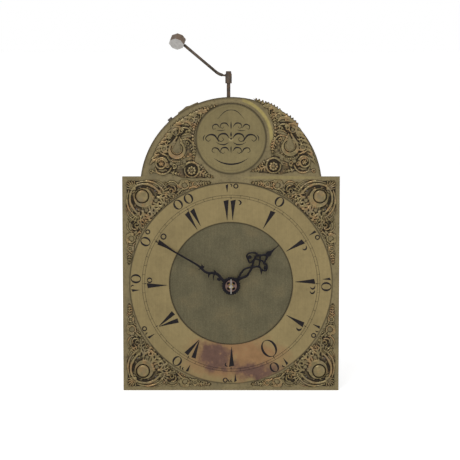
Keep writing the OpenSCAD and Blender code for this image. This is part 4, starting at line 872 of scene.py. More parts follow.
def corner_strokes(height):
    """The corner casting, in mm across and down from the plate's corner: a domed cabochon in a
    collar, fluted bands round it, a leafy cluster towards the ring and two pierced scroll arms."""
    h = height
    half = [
        # fluted bands that sweep from the corner shell along the border
        stroke("round", h * 0.95, (17, 15, 1.0), (24, 11.4, 1.6), (34, 10.6, 1.8), (43, 14, 1.8),
               (49.5, 19, 1.6), (54, 24, 1.0)),
        stroke("round", h * 0.9, (20, 9.4, 0.9), (29, 6.9, 1.3), (38, 6.9, 1.5), (47, 9.9, 1.5),
               (54, 15.5, 1.4), (58.5, 21.5, 0.8)),
        stroke("round", h * 0.7, (33, 4.6, 0.6), (43, 4.9, 0.8), (52, 7.4, 1.0), (59, 12.5, 1.0),
               (63, 19.5, 0.6)),
        # shell of the fluted ends
        *fan(h * 0.95, (50, 24), [(60, 8), (64, 11), (66.5, 16), (66.5, 21), (63, 25.5)], 1.1),
        # leaf between the band and the ring
        *leaf(h * 0.95, [(50, 29), (56, 30), (61, 32), (66, 35)], 4.4, 3),
        *leaf(h * 0.9, [(58, 25), (64, 26), (70, 27), (76, 28)], 3.6, 3),
        spiral("round", h, (52.5, 38), 4.6, 1.6, -60, 400, 1.7, 1.2),
        stroke("round", h * 0.95, (57, 36.5, 1.6), (61.5, 38.6, 1.9), (60.5, 42.6, 1.3)),
        # scroll arm
        spiral("round", h, (68.5, 20), 4.2, 1.4, 160, -400, 1.2, 0.8),
        stroke("round", h, (63, 9, 0.8), (68, 6.8, 1.2), (73, 7.6, 1.2), (77, 11, 1.1), (78, 15, 0.9)),
        stroke("round", h * 0.9, (68, 12.5, 0.8), (72.5, 13.5, 1.1), (74.5, 17, 1.0),
               (73.5, 21.5, 0.8)),
        stroke("round", h, (77, 24.5, 1.0), (81, 20.5, 1.3), (84, 17.8, 1.2), (87, 18.2, 1.0)),
        spiral("round", h, (87.4, 12), 7.0, 3.9, 150, 560, 1.4, 1.0, 34),
        stroke("round", h * 0.95, (80, 8, 0.7), (83, 5.6, 1.0), (88, 5.0, 1.1), (93, 6.4, 1.0),
               (97, 8.4, 0.8)),
        spiral("round", h * 0.9, (80.5, 14), 2.6, 0.8, 200, 380, 1.0, 0.7),
        spiral("round", h, (101.6, 10.8), 3.2, 3.2, 0, 360, 1.1, 1.1, 16),
        stroke("round", h * 0.9, (94, 16.5, 1.0), (98, 14.8, 1.2), (103, 15.6, 1.0), (107, 13.6, 0.7)),
        *leaf(h * 0.95, [(104, 9.5), (110, 9.6), (117, 9.2), (124, 8.0)], 2.9, 5),
        *leaf(h * 0.85, [(112, 12.6), (118, 11.4), (124, 9.6)], 1.8, 3),
        # rope of small leaves along the ring
        *beads(h * 0.8, (152.5, 151.9), 146.4, 221, 252, 19, 1.25),
        hole((66.2, 10.6, 0.5), (69.5, 10.2, 1.3), (72, 10.6, 0.6)),
        hole((64.5, 24.2, 0.6), (69, 24.8, 1.3), (73.4, 23.8, 0.8)),
        hole((77.2, 19.4, 1.1), (79.6, 17.6, 0.7)),
        hole((73.6, 25.0, 0.5), (75.6, 25.6, 1.0)),
        hole((87.4, 12.0, 2.6)),
        hole((101.6, 10.8, 1.9)),
        hole((90.6, 20.0, 1.1), (93.4, 19.4, 0.6)),
        hole((47.4, 33.7, 2.6)),
    ]
    both = half + [(kind, level, path[:, [1, 0, 2]]) for kind, level, path in half]
    ground = [
        stroke("flat", 0.85, (12, 12, 5), (24, 24, 17), (34, 34, 18), (44, 44, 10), (52, 52, 7)),
        stroke("flat", 0.85, (44, 30, 10), (58, 22, 9), (70, 20, 8)),
        stroke("flat", 0.85, (30, 44, 10), (22, 58, 9), (20, 70, 8)),
    ]
    middle = [
        *fan(h * 0.95, (18.5, 18.5), [(6.5, 17), (5.8, 12.5), (6.2, 8.6), (8.6, 6.2), (12.5, 5.8),
                                      (17, 6.5)], 1.2),
        *leaf(h, [(40, 40), (45, 45), (50, 50), (55, 55)], 5.6, 3),
        stroke("round", h * 0.9, (43.5, 37.5, 1.4), (47.5, 39.4, 1.8), (50.5, 43.6, 1.4)),
        stroke("round", h * 0.9, (37.5, 43.5, 1.4), (39.4, 47.5, 1.8), (43.6, 50.5, 1.4)),
        # deep crescents, then the collar and the cabochon
        spiral("dip", 0.35, (29, 29.8), 16.2, 17.4, -108, 82, 0.9, 1.3),
        spiral("dip", 0.35, (29.8, 29), 16.2, 17.4, 198, -82, 0.9, 1.3),
        stroke("flat", h * 0.82, (30.2, 30.6, 13.6)),
        *beads(h * 0.8, (30.2, 30.6), 13.4, -8, 98, 9, 1.9),
        spiral("round", h, (29.6, 30), 12.6, 12.6, 0, 360, 1.1, 1.1, 40),
        spiral("dip", 0.7, (27.8, 27.9), 9.3, 9.3, 0, 360, 0.9, 0.9, 36),
        stroke("round", h * 1.42, (27.8, 27.9, 8.7)),
        stroke("flat", h * 1.3, (27.8, 27.9, 8.2)),
        hole((47.4, 33.7, 2.6)),
        hole((33.7, 47.4, 2.6)),
    ]
    return ground + both + middle


def arch_strokes(height, arch_r, arch_z):
    """The left arch casting, in mm from the boss's centre: a pierced drop in a smooth collar between
    two rosettes, under a run of leaves that follows the arch."""
    h = height
    made = [
        # ground that ties the casting together
        stroke("flat", 0.85, (-97, -36, 9), (-88, -20, 8), (-80, 0, 8), (-66, 20, 8), (-46, 33, 5)),
        stroke("flat", 0.85, (-97, -40, 7), (-80, -44, 6), (-58, -46, 11), (-38, -50, 6)),
        stroke("flat", 0.85, (-58, -2, 5), (-57, -18, 5), (-57, -30, 6)),
        # collar of the drop, wider below
        stroke("flat", h * 0.85, (-75.9, -17.0, 12.4)),
        spiral("round", h, (-75.9, -16.4), 11.6, 11.6, 0, 360, 1.0, 1.0, 36),
        stroke("round", h * 0.95, (-84, -9, 2.0), (-80, -3.5, 1.6), (-75.5, 2.6, 1.2)),
        stroke("round", h * 0.95, (-67.5, -9, 2.0), (-69.5, -4, 1.6), (-72, 1.5, 1.2)),
        spiral("dip", 0.9, (-75.7, -14.6), 8.2, 8.2, 150, 260, 0.7, 0.7, 24),
        # C-scroll over the drop
        spiral("round", h, (-77, 9.5), 4.6, 4.6, 60, 300, 1.3, 1.0, 20),
        stroke("round", h, (-83, 3, 1.0), (-82.6, 12, 1.5), (-78.5, 19.4, 1.6), (-70, 23.4, 1.6),
               (-61, 23, 1.5), (-55.5, 18.5, 1.2)),
        stroke("round", h * 0.9, (-72, 14.5, 1.0), (-66, 15.5, 1.3), (-60, 14, 1.2), (-55, 9, 0.9)),
        spiral("round", h * 0.95, (-69.5, 10.4), 3.6, 1.0, 30, 430, 1.2, 0.8),
        spiral("round", h * 0.95, (-60.4, 8.8), 3.0, 1.0, 180, -400, 1.0, 0.8),
        stroke("round", h * 0.95, (-69, 3.4, 0.8), (-64, 6.2, 1.1), (-57.5, 6.2, 1.1), (-53.8, 3, 0.8)),
        stroke("round", h * 0.95, (-70, -2, 0.8), (-64.6, -0.8, 1.2), (-58.4, -1.6, 1.2),
               (-55, -5, 1.0)),
        spiral("round", h * 0.9, (-60.6, -6.4), 3.0, 1.0, 100, 400, 1.0, 0.7),
        # links over the boss's shoulder
        spiral("round", h, (-55.7, 25.4), 3.6, 3.6, 0, 360, 1.2, 1.2, 16),
        stroke("round", h, (-51.5, 24.5, 1.0), (-50.2, 31.5, 1.3), (-46.2, 37.2, 1.2),
               (-42.6, 34.4, 1.1), (-42.6, 28.8, 1.0), (-46.2, 25.0, 1.0)),
        *leaf(h * 0.95, [(-43, 36), (-36, 40), (-28, 43.5), (-19, 46.3)], 3.4, 5),
        *leaf(h * 0.9, [(-58, 30), (-52, 35.4), (-45, 39.6), (-37, 43.2)], 2.8, 5),
        # leaves along the outside
        *leaf(h * 0.95, [(-95, -22), (-90, -10), (-86, 2), (-80, 14)], 3.2, 7),
        *leaf(h * 0.9, [(-84, 12), (-77, 20), (-69, 27), (-59, 31)], 2.8, 6),
        spiral("round", h, (-88, 2.4), 3.2, 1.0, 0, 430, 1.1, 0.8),
        spiral("round", h, (-93.7, -14.4), 3.9, 3.9, 0, 360, 1.3, 1.3, 18),
        stroke("round", h, (-88.4, -25, 0.8), (-93, -22.5, 1.2), (-99, -19, 1.2), (-100.5, -13, 1.0)),
        # left rosette
        spiral("round", h, (-97.7, -35.1), 8.6, 5.0, 20, 500, 1.5, 1.1, 40),
        *beads(h * 1.0, (-97.7, -35.1), 2.5, 0, 300, 6, 1.2),
        stroke("round", h * 1.1, (-97.7, -35.1, 1.7)),
        stroke("round", h, (-106, -41, 1.0), (-103, -47.5, 1.4), (-95, -50, 1.4), (-88, -47, 1.3),
               (-83.5, -41, 1.0)),
        spiral("round", h * 0.95, (-111.6, -46.4), 2.8, 1.2, 0, 400, 1.1, 0.9),
        stroke("round", h * 0.9, (-109, -46, 1.0), (-106, -47.2, 1.2), (-103.5, -45, 1.0)),
        spiral("round", h * 0.9, (-88.5, -38), 3.2, 1.0, 90, 420, 1.0, 0.8),
        *leaf(h * 0.9, [(-84, -47), (-77, -49), (-70, -50.5)], 2.6, 3),
        spiral("round", h * 0.95, (-79.5, -38.5), 3.4, 1.0, 250, 420, 1.1, 0.8),
        *beads(h * 0.9, (-76, -16), 16.6, 222, 292, 8, 1.5),
        # right rosette
        spiral("round", h, (-55.2, -43.6), 10.8, 9.6, 140, -330, 1.6, 1.2, 36),
        spiral("dip", 0.45, (-55.2, -44.4), 8.1, 8.1, 0, 360, 0.8, 0.8, 30),
        *beads(h * 1.05, (-55.2, -44.8), 4.6, 0, 315, 8, 1.9),
        *beads(h * 0.95, (-55.2, -44.8), 1.9, 0, 288, 5, 1.1),
        stroke("round", h * 1.15, (-55.2, -44.8, 1.3)),
        *leaf(h * 0.95, [(-67, -41), (-69.5, -34), (-68, -28), (-62, -24)], 2.0, 4),
        # leaf that runs to the right under the boss
        *leaf(h * 0.95, [(-45, -46), (-38, -49.5), (-31, -52.5), (-24, -55)], 3.2, 5),
        *leaf(h * 0.85, [(-46, -36), (-40, -41.5), (-35, -46)], 2.2, 4),
        # column of beads along the boss
        *leaf(h * 0.95, [(-45.8, 30.0), (-50.6, 20), (-53.4, 9)], 3.4, 5),
        *leaf(h * 0.95, [(-54.2, -6), (-52.4, -14), (-51.6, -20), (-52.6, -28)], 3.2, 5),
        *beads(h * 0.9, (0, 0), 53.4, 166, 186, 5, 2.0),
        # openings that show the plate
        hole((-75.7, -14.4, 6.4), (-74.2, -5.5, 2.6), (-73, 0, 0.8)),
        hole((-77.2, 7.4, 1.9), (-77.0, 10.4, 1.9), (-75.6, 13.4, 0.6)),
        hole((-67.6, 19.4, 0.8), (-63, 20.0, 1.5), (-58.8, 18.6, 0.7)),
        hole((-55.7, 25.4, 2.1)),
        hole((-47.4, 30.8, 1.7), (-45.4, 33.6, 1.0)),
        hole((-66.5, 2.4, 0.7), (-61, 3.2, 1.1), (-56, 2.6, 0.7)),
        hole((-56.4, -9.4, 1.7)),
        hole((-93.7, -14.4, 2.3)),
        hole((-73.8, -34.6, 0.8), (-66, -29.8, 1.5), (-57.5, -25.6, 1.0)),
        hole((-87.4, -28, 1.0), (-84.6, -33, 0.7)),
        hole((-101, -44.4, 0.8), (-96, -45.4, 1.2), (-91.6, -43.6, 0.7)),
        hole((-67.2, -40.6, 1.4), (-64.4, -36.4, 1.0)),
    ]
    # slanting leaves that follow the arch
    leaves, start, sweep = 15, 108, 54
    lift = arch_z - BOSS_Z
    for k in range(leaves):
        row = []
        for part, inward, half in ((0, 15.5, 1.2), (0.5, 11.6, 2.2), (1, 9.6, 1.3)):
            a = math.radians(start + sweep * (k + 1.3 * part) / leaves)
            row.append(((arch_r - inward) * math.cos(a), (arch_r - inward) * math.sin(a) + lift, half))
        made.append(stroke("round", h * 0.92, *row))
    return made


def leafy(shape, seed, step):
    """Seeded unevenness of a hand-chased casting, about 2 mm and 4 mm wide."""
    source = np.random.default_rng(seed)
    ones = np.ones(shape)
    fine = soften(source.standard_normal(shape), ones, 2, max(1, round(0.5 / step)))
    broad = soften(source.standard_normal(shape), ones, 3, max(1, round(1.2 / step)))
    return fine / fine.std() * UNEVEN + broad / broad.std() * UNEVEN


def kept_smooth(a, b, spots):
    """0 on the smooth parts of a casting, given as (a, b, radius) in mm, and 1 elsewhere."""
    grid_a, grid_b = np.meshgrid(a, b, indexing="ij")
    free = np.ones(grid_a.shape)
    for centre_a, centre_b, radius in spots:
        away = np.hypot(grid_a - centre_a, grid_b - centre_b)
        free *= np.clip((away - radius) / 1.5, 0, 1)
    return free


# Operators

class CLOCK_OT_finishes(bpy.types.Operator):
    """Makes the finishes and gives each carried-over piece its own"""
    bl_idname = "clock.finishes"
    bl_label = "Finishes"
    BROWN = ("arch_backing_plate",)  # as brown as the back of the dial, behind which it lies

    def execute(self, context):
        for make in [*FINISHES.values(), engravers_wax]:
            make()
        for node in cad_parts.values():
            for holder in node.material_slots:
                slot = holder.material.name.split(".")[0]
                if slot not in FINISHES:
                    raise RuntimeError(f"{node.name} has a material {slot} that has no finish")
                finish = aged_sheet_brass if node.name in self.BROWN else FINISHES[slot]
                holder.material = bpy.data.materials[finish.__name__]
        return {"FINISHED"}


class CLOCK_OT_corner_castings(bpy.types.Operator):
    """Builds the four cast corner spandrels"""
    bl_idname = "clock.corner_castings"
    bl_label = "Corner castings"
    EXTENT = 134  # mm along each side
    SMOOTH = ((27.8, 27.9, 9.4), (30.2, 30.6, 12.5))  # the cabochon and its collar

    def execute(self, context):
        size = sizes()
        step = size.casting_step / MM
        gap, border = size.casting_gap / MM, size.border / MM
        a = np.arange(0, self.EXTENT, step)
        strokes = corner_strokes(size.casting_height / MM)
        reach, height = draw(a, a, strokes, 0.3)
        height += leafy(height.shape, size.seed, step) * kept_smooth(a, a, self.SMOOTH)
        grid_a, grid_b = np.meshgrid(a, a, indexing="ij")
        shoulder = arch()[2]
        for edge, up in ((shoulder, 1), (PLATE_LOW.z, -1)):
            drop = abs(edge - RING_Z)
            limit = np.hypot(HALF_W - grid_a, drop - grid_b) - RING_R - gap
            limit = np.minimum(limit, np.minimum(grid_a, grid_b) - border)
            rows, faces, wear_and_shade = relief(a, a, np.minimum(reach, limit), height.copy())
            for side, hand in (("left", -1), ("right", 1)):
                verts = np.column_stack([hand * (HALF_W - rows[:, 0]), DIAL_FRONT - rows[:, 2],
                                         edge - up * rows[:, 1]]) * MM
                where = "top" if up > 0 else "bottom"
                piece_from(f"corner_casting_{where}_{side}", verts, faces, "chased_cast_brass",
                           [f"spandrel_{where}_{side}"], wear_and_shade)
        return {"FINISHED"}


class CLOCK_OT_arch_castings(bpy.types.Operator):
    """Builds the two cast spandrels of the arch, the right one slipped out of its place"""
    bl_idname = "clock.arch_castings"
    bl_label = "Arch castings"
    # mm from the boss's centre
    ACROSS = (-122, -12)
    UP = (-60, 54)
    SMOOTH = ((-75.9, -16, 11.5),)  # the drop in its collar
    ARCH_BORDER = 5  # mm of bare plate along the arch
    OVERHANG = 2.5  # mm that it reaches below the shoulder
    # where the left casting turns about, and how the right one has slipped, in mm and degrees
    PIVOT = (-75.4, 302.0)
    SLIP = (6.9, 4.1)
    SLIP_TURN = 5.0

    def execute(self, context):
        size = sizes()
        step = size.casting_step / MM
        arch_r, arch_z, shoulder = arch()
        a = np.arange(*self.ACROSS, step)
        b = np.arange(*self.UP, step)
        strokes = arch_strokes(size.casting_height / MM, arch_r, arch_z)
        reach, height = draw(a, b, strokes, 0.3)
        height += leafy(height.shape, size.seed + 1, step) * kept_smooth(a, b, self.SMOOTH)
        grid_a, grid_b = np.meshgrid(a, b, indexing="ij")
        gap = size.casting_gap / MM
        limit = np.hypot(grid_a, grid_b) - BOSS_R - gap
        limit = np.minimum(limit, arch_r - self.ARCH_BORDER
                           - np.hypot(grid_a, grid_b + BOSS_Z - arch_z))
        limit = np.minimum(limit, grid_b + BOSS_Z - shoulder + self.OVERHANG)
        rows, faces, wear_and_shade = relief(a, b, np.minimum(reach, limit), height)
        x, z = rows[:, 0], rows[:, 1] + BOSS_Z
        verts = np.column_stack([x, DIAL_FRONT - rows[:, 2], z]) * MM
        piece_from("arch_casting_left", verts, faces, "chased_cast_brass",
                   ["arch_spandrel_left"], wear_and_shade)
        turn = math.radians(self.SLIP_TURN)
        off_x, off_z = self.PIVOT[0] - x, z - self.PIVOT[1]
        right_x = off_x * math.cos(turn) + off_z * math.sin(turn) - self.PIVOT[0] + self.SLIP[0]
        right_z = off_z * math.cos(turn) - off_x * math.sin(turn) + self.PIVOT[1] + self.SLIP[1]
        verts = np.column_stack([right_x, DIAL_FRONT - rows[:, 2], right_z]) * MM
        piece_from("arch_casting_right", verts, faces, "chased_cast_brass",
                   ["arch_spandrel_right"], wear_and_shade)
        return {"FINISHED"}


class CLOCK_OT_ring_figures(bpy.types.Operator):
    """Fills the ring's hour figures, minute figures and minute track with black wax"""
    bl_idname = "clock.ring_figures"
    bl_label = "Ring figures"
    CIRCLE_POINTS = 240
    TRACK_HALF = 0.22  # mm: half the width of the track's circles
    DEPTH = 0.25  # mm that the wax goes into the ring

    def execute(self, context):
        size = sizes()
        low, high = size.hour_inner / MM, size.hour_outer / MM
        inner, outer = size.track_inner / MM, size.track_outer / MM
        rows = []
        around = np.linspace(0, 2 * math.pi, self.CIRCLE_POINTS, endpoint=False)
        for radius in (inner, outer):
            rows.append(ribbon(np.column_stack([
                radius * np.sin(around), RING_Z + radius * np.cos(around),
                np.full(self.CIRCLE_POINTS, self.TRACK_HALF)]), True))
        for k in range(60):
            rows.append(on_ring(ribbon([(0, inner, 0.2), (0, outer, 0.2)]), 6 * k))
        for k in range(12):
            rows.append(on_ring(ribbon([(0, high + 1.0, 0.15), (0, high + 2.0, 0.75),
                                        (0, inner + 0.6, 0.2)]), 30 * k))
        # hour figures: (angle, strokes drawn upright, with radius as height)
        hour = wedge(low, high, 3.7)
        crescent = hook((-1.2, high - 3.4), 4.2, 3.3, -70, 95, 1.0)
        figures = [
            (30, [hour]),
            (59.4, [hour]), (63.6, [crescent]),
            (88.4, [hour]), (92.2, [crescent]), (95.4, [crescent]),
            (119.8, [hour]), (123.8, [hook((-1.6, high - 3.6), 3.6, 3.4, -60, 110, 1.25)]),
            (149.8, [oval((0, 106.8), 9.2, 12.4, 1.6, 0.35)]),
            (179.6, [hour]), (183.2, [hook((-1.6, high - 3.0), 3.4, 2.6, -60, 100, 0.8)]),
            (209.3, [
                ribbon([(0.4, low + 2.4, 0.25), (2.9, 104, 1.7), (6.3, high, 3.3)]),
                ribbon([(-0.4, low + 2.4, 0.25), (-2.6, 104, 1.7), (-5.6, high, 3.2)])]),
            (239.1, [
                ribbon([(0.4, high, 0.25), (2.9, 106, 1.7), (6.2, low + 1, 3.3)]),
                ribbon([(-0.4, high, 0.25), (-2.9, 106, 1.7), (-6.6, low + 1, 3.3)])]),
            (268.6, [hour]), (272.4, [oval((0, high - 3.6), 3.0, 3.2, 1.0, 0.45)]),
            (300, [hour]), (305.1, [oval((0, 116), 3.5, 3.5, 0.95, 0.8)]),
            (328.2, [hour]), (332.4, [wedge(low + 2, high, 3.6)]),
            (356.6, [hour]), (361.4, [hour]), (365.4, [crescent]),
        ]
        # minute figures outside the track
        minute = wedge(129.2, 140.4, 2.0)
        dot = oval((0, 138.0), 2.8, 2.8, 0.85, 0.7)
        round5 = oval((0, 134.2), 5.2, 6.7, 1.35, 0.4)
        tail = hook((-0.6, 138.6), 2.2, 1.9, -60, 100, 0.7)
        figures += [
            (30.4, [round5]),
            (58.0, [minute]), (61.6, [dot]),
            (87.2, [minute]), (91.8, [round5]),
            (116.5, [minute]), (118.9, [tail]), (122.3, [dot]),
            (145.2, [minute]), (147.5, [tail]), (152.8, [round5]),
            (177.4, [minute]), (179.5, [tail]), (180.8, [tail]), (183.4, [dot]),
            (206.5, [minute]), (209.0, [tail]), (210.6, [tail]), (214.6, [round5]),
            (236.5, [minute]), (238.8, [tail]), (242.3, [dot]),
            (266.0, [minute]), (268.4, [tail]), (273.0, [round5]),
            (296.4, [round5]), (302.1, [dot]),
            (326.4, [round5]), (333.6, [round5]),
            (357.6, [minute]), (359.8, [tail]), (362.8, [dot]),
        ]
        for angle, drawn in figures:
            rows += [on_ring(row, angle) for row in drawn]
        rise = size.figure_rise / MM
        verts, faces = strips(rows, lambda x, z: np.full(len(x), RING_FRONT - rise),
                              lambda x, z: np.full(len(x), RING_FRONT + self.DEPTH))
        piece_from("ring_figures", verts, faces, "engravers_wax")
        return {"FINISHED"}


class CLOCK_OT_boss_engraving(bpy.types.Operator):
    """Engraves the boss with plain mirrored scrolls"""
    bl_idname = "clock.boss_engraving"
    bl_label = "Boss engraving"
    # mm: radius of the boss's dome, and how far its crown stands before the plate
    DOME_R = 420.0
    DOME_TOP = 3.4
    # mm: how far the wax stands out of the dome, and how far it goes in
    RISE = 0.14
    DEPTH = 0.3
    SPREAD = 1.25  # width of the paired scrolls, as a part of what their rows say

    def execute(self, context):
        def dome(x, z):
            away = x * x + (z - BOSS_Z) ** 2
            return DIAL_FRONT - self.DOME_TOP + self.DOME_R - np.sqrt(self.DOME_R ** 2 - away)

        # the right half of each scroll as rows of (x, z, half width) from the boss's centre
        half = [
            # upper row
            [(2.5, 16.5, 0.15), (7, 21.5, 0.7), (13, 21, 0.55), (15, 16.5, 0.3), (11.5, 14.6, 0.25),
             (9.8, 17.4, 0.15)],
            [(15.5, 15, 0.15), (20, 20, 0.7), (25.5, 18, 0.45), (25, 13.4, 0.3), (21.5, 14.2, 0.15)],
            [(8, 12.4, 0.12), (14, 11.2, 0.4), (20, 11.6, 0.12)],
            # middle row
            [(2.0, 0.5, 0.15), (7.5, 6.6, 0.95), (15, 6, 0.75), (18.5, 0, 0.5), (14.5, -4, 0.35),
             (10.4, -1.4, 0.3), (12.4, 1.8, 0.16)],
            [(17, -4.5, 0.15), (23, 4.5, 0.95), (31, 5.2, 0.7), (35.5, 0.4, 0.45), (32, -3.6, 0.35),
             (28.4, -1.2, 0.16)],
            [(3, -5.2, 0.12), (9, -8.2, 0.7), (16, -7.6, 0.4), (21, -4.6, 0.12)],
            [(36, 5.5, 0.12), (38.6, 1.5, 0.5), (38.4, -3.4, 0.12)],
            # lower row
            [(2.2, -17.5, 0.15), (6.5, -12.6, 0.8), (12.5, -13.2, 0.6), (14.6, -18, 0.35),
             (11, -20.6, 0.3), (8.6, -18.2, 0.15)],
            [(14.5, -20.5, 0.15), (18.5, -14, 0.75), (24.5, -13, 0.5), (26.6, -17.6, 0.35),
             (23, -19.8, 0.15)],
        ]
        rows = []
        for line in half:
            path = curve_through(line, 0.9)
            path[:, 1] += BOSS_Z
            path[:, 2] *= self.SPREAD
            rows += [ribbon(path), ribbon(path * np.array([-1, 1, 1]))]
        for line in ([(-19, 27, 0.12), (-9, 37.4, 0.45), (0, 40.2, 0.6), (9, 37.4, 0.45),
                      (19, 27, 0.12)],
                     [(-24, -27.5, 0.12), (-13, -33.5, 0.8), (0, -35.8, 1.15), (13, -33.5, 0.8),
                      (24, -27.5, 0.12)],
                     [(-1.3, 0, 0.3), (0, 0, 1.5), (1.3, 0, 0.3)],
                     [(0, 13, 0.1), (0, 18, 0.9), (0, 24, 0.1)],
                     [(0, 2.4, 0.1), (0, 5.6, 1.1), (0, 10, 0.1)],
                     [(0, -10, 0.1), (0, -14, 0.8), (0, -20, 0.1)]):
            path = curve_through(line, 0.9)
            path[:, 1] += BOSS_Z
            rows.append(ribbon(path))
        verts, faces = strips(rows, lambda x, z: dome(x, z) - self.RISE,
                              lambda x, z: dome(x, z) + self.DEPTH)
        piece_from("boss_engraving", verts, faces, "engravers_wax")
        return {"FINISHED"}


def welded_copy(node):
    """A copy of a carried-over node's mesh as bmesh, its points joined."""
    work = bmesh.new()
    work.from_mesh(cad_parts[node].data)
    bmesh.ops.remove_doubles(work, verts=work.verts, dist=1e-6)
    return work


def piece_of(work, name, material, node, body):
    """A new piece from a bmesh that stands for a carried-over node."""
    bmesh.ops.recalc_face_normals(work, faces=work.faces)
    mesh = bpy.data.meshes.new(name)
    work.to_mesh(mesh)
    work.free()
    put(name, mesh, material, [node], 35, body)


class CLOCK_OT_forgings(bpy.types.Operator):
    """Swells the hammer's arm as it was forged, and cuts the strap's end along the arch"""
    bl_idname = "clock.forgings"
    bl_label = "Forgings"
    SWELL = 0.75  # mm that the arm's side moves outward
    SWELL_END = -12.0  # mm across: the arm swells to the left of this
    # (direction, distance from the arch's centre in mm) of the cuts that follow the arch's rim
    CUTS = (((-0.656, 0.755), 127.6), ((-0.2, 0.98), 124.6))

    def execute(self, context):
        arm = welded_copy("hammer_arm")
        arm.normal_update()
        moves = [(v, v.normal.copy()) for v in arm.verts if v.co.x / MM < self.SWELL_END]
        for vert, normal in moves:
            vert.co += normal * self.SWELL * MM
        piece_of(arm, "forged_hammer_arm", "old_wrought_iron", "hammer_arm", "hammer")
        strap = welded_copy("hammer_strap")
        arch_z = arch()[1]
        for (x, z), away in self.CUTS:
            middle = Vector((x * away, 0, arch_z + z * away)) * MM
            cut = bmesh.ops.bisect_plane(strap, geom=[*strap.verts, *strap.edges, *strap.faces],
                                         plane_co=middle, plane_no=(x, 0, z), clear_outer=True)
            edges = [e for e in cut["geom_cut"] if isinstance(e, bmesh.types.BMEdge)]
            bmesh.ops.contextual_create(strap, geom=edges)
        piece_of(strap, "forged_strap", "old_wrought_iron", "hammer_strap", "frame")
        return {"FINISHED"}


# Strokes of the hands, as rows of (across, out from the centre, half width) in mm, drawn with
# the hand pointing to 12
MINUTE_LINES = [
    [(0.6, 11.3, 2), (2.1, 17, 2.1), (4, 21.5, 2.1), (4.7, 26.6, 1.9), (3.1, 31.4, 1.8),
     (0.1, 36.2, 1.7), (-0.8, 41.7, 1.6), (0.3, 47, 1.7), (1.6, 52.4, 1.5), (2.1, 59.4, 1.3),
     (2.1, 73.6, 1.2), (2, 92, 1.1), (1.4, 123.1, 0.4)],
    [(4.5, 26.3, 1.4), (6.2, 29.1, 1), (7.6, 32, 0.4)],
    [(1.1, 34.2, 1.3), (-2.3, 34.8, 1), (-5.5, 33.4, 0.4)],
    [(2.3, 28.3, 1), (-1.7, 27.7, 0.8), (-5.4, 24.9, 0.3)],
    [(1.4, 17.3, 1.1), (-0.3, 18.4, 1.8), (-0.7, 20.1, 2.1)],
    [(1.3, 48.7, 2), (3.4, 47.5, 1.8)],
    [(1.7, 49.2, 1.3), (4.2, 49.5, 0.8), (6.4, 51.2, 0.3)],
    [(0.6, 49, 1.3), (-1.1, 49.8, 0.8), (-2.7, 51.5, 0.3)],
]
HOUR_LINES = [
    [(-1.1, 8.5, 1.7), (-1.7, 15.6, 1.6), (-4, 20.9, 1.4), (-5.4, 27.5, 1.3), (-4.5, 32.8, 1.3),
     (-2.4, 36.9, 1.4), (-0.4, 39.1, 1.6)],
    [(0.6, 8.5, 1.7), (1.3, 17.7, 1.7), (3.5, 23.6, 1.7), (3.7, 27.2, 1.6), (2.4, 31.4, 1.4),
     (1, 36.2, 1.4), (-0.4, 39.1, 1.6)],
    [(-0.6, 38.5, 1.6), (-4, 44.1, 1.3), (-7.4, 49.7, 1.3), (-8.8, 55, 1.7), (-5, 60.3, 1.4),
     (-2.5, 64.8, 1.6), (0, 67.9, 1.7)],
    [(-7.4, 49, 1.1), (-6.8, 43.3, 1), (-8.2, 40.8, 1), (-13.3, 42.2, 1.1), (-17.8, 43.9, 1),
     (-18.7, 48.4, 1), (-15, 54.1, 1.1), (-11.3, 56.5, 1.6), (-8.8, 55, 1.3)],
    [(-13.7, 46.1, 2.7)],
    [(-13.6, 42.7, 1), (-13.7, 45.8, 1.3)],
    [(-0.6, 38.5, 1.6), (1.8, 43.6, 1.4), (5.4, 47.3, 1.4), (9.2, 47, 1.4), (12.7, 45, 1.1),
     (15.4, 42.7, 0.4)],
    [(9.1, 47, 1.3), (12.7, 48.1, 1.1), (15.4, 50.9, 1.1), (13.3, 55.2, 1.3), (9.3, 57.2, 1.3),
     (6.2, 55.8, 1.7), (4.5, 58.9, 1.4), (2.5, 63.7, 1.4), (0, 67.9, 1.7)],
    [(12.2, 51.5, 1.3), (9.9, 53.8, 1)],
    [(-7.6, 50.1, 1.1), (-3.4, 52.9, 1.1), (1.7, 56, 1.1), (6.2, 55.8, 1.3)],
    [(4.8, 47, 1), (2, 50.9, 1), (-1.7, 54.6, 1), (-5.9, 58.9, 1)],
    [(-0.3, 65.1, 1.6), (-0.1, 68.8, 3.8), (0, 73.3, 2), (0, 79.9, 0.9), (0, 87.4, 0.4)],
]


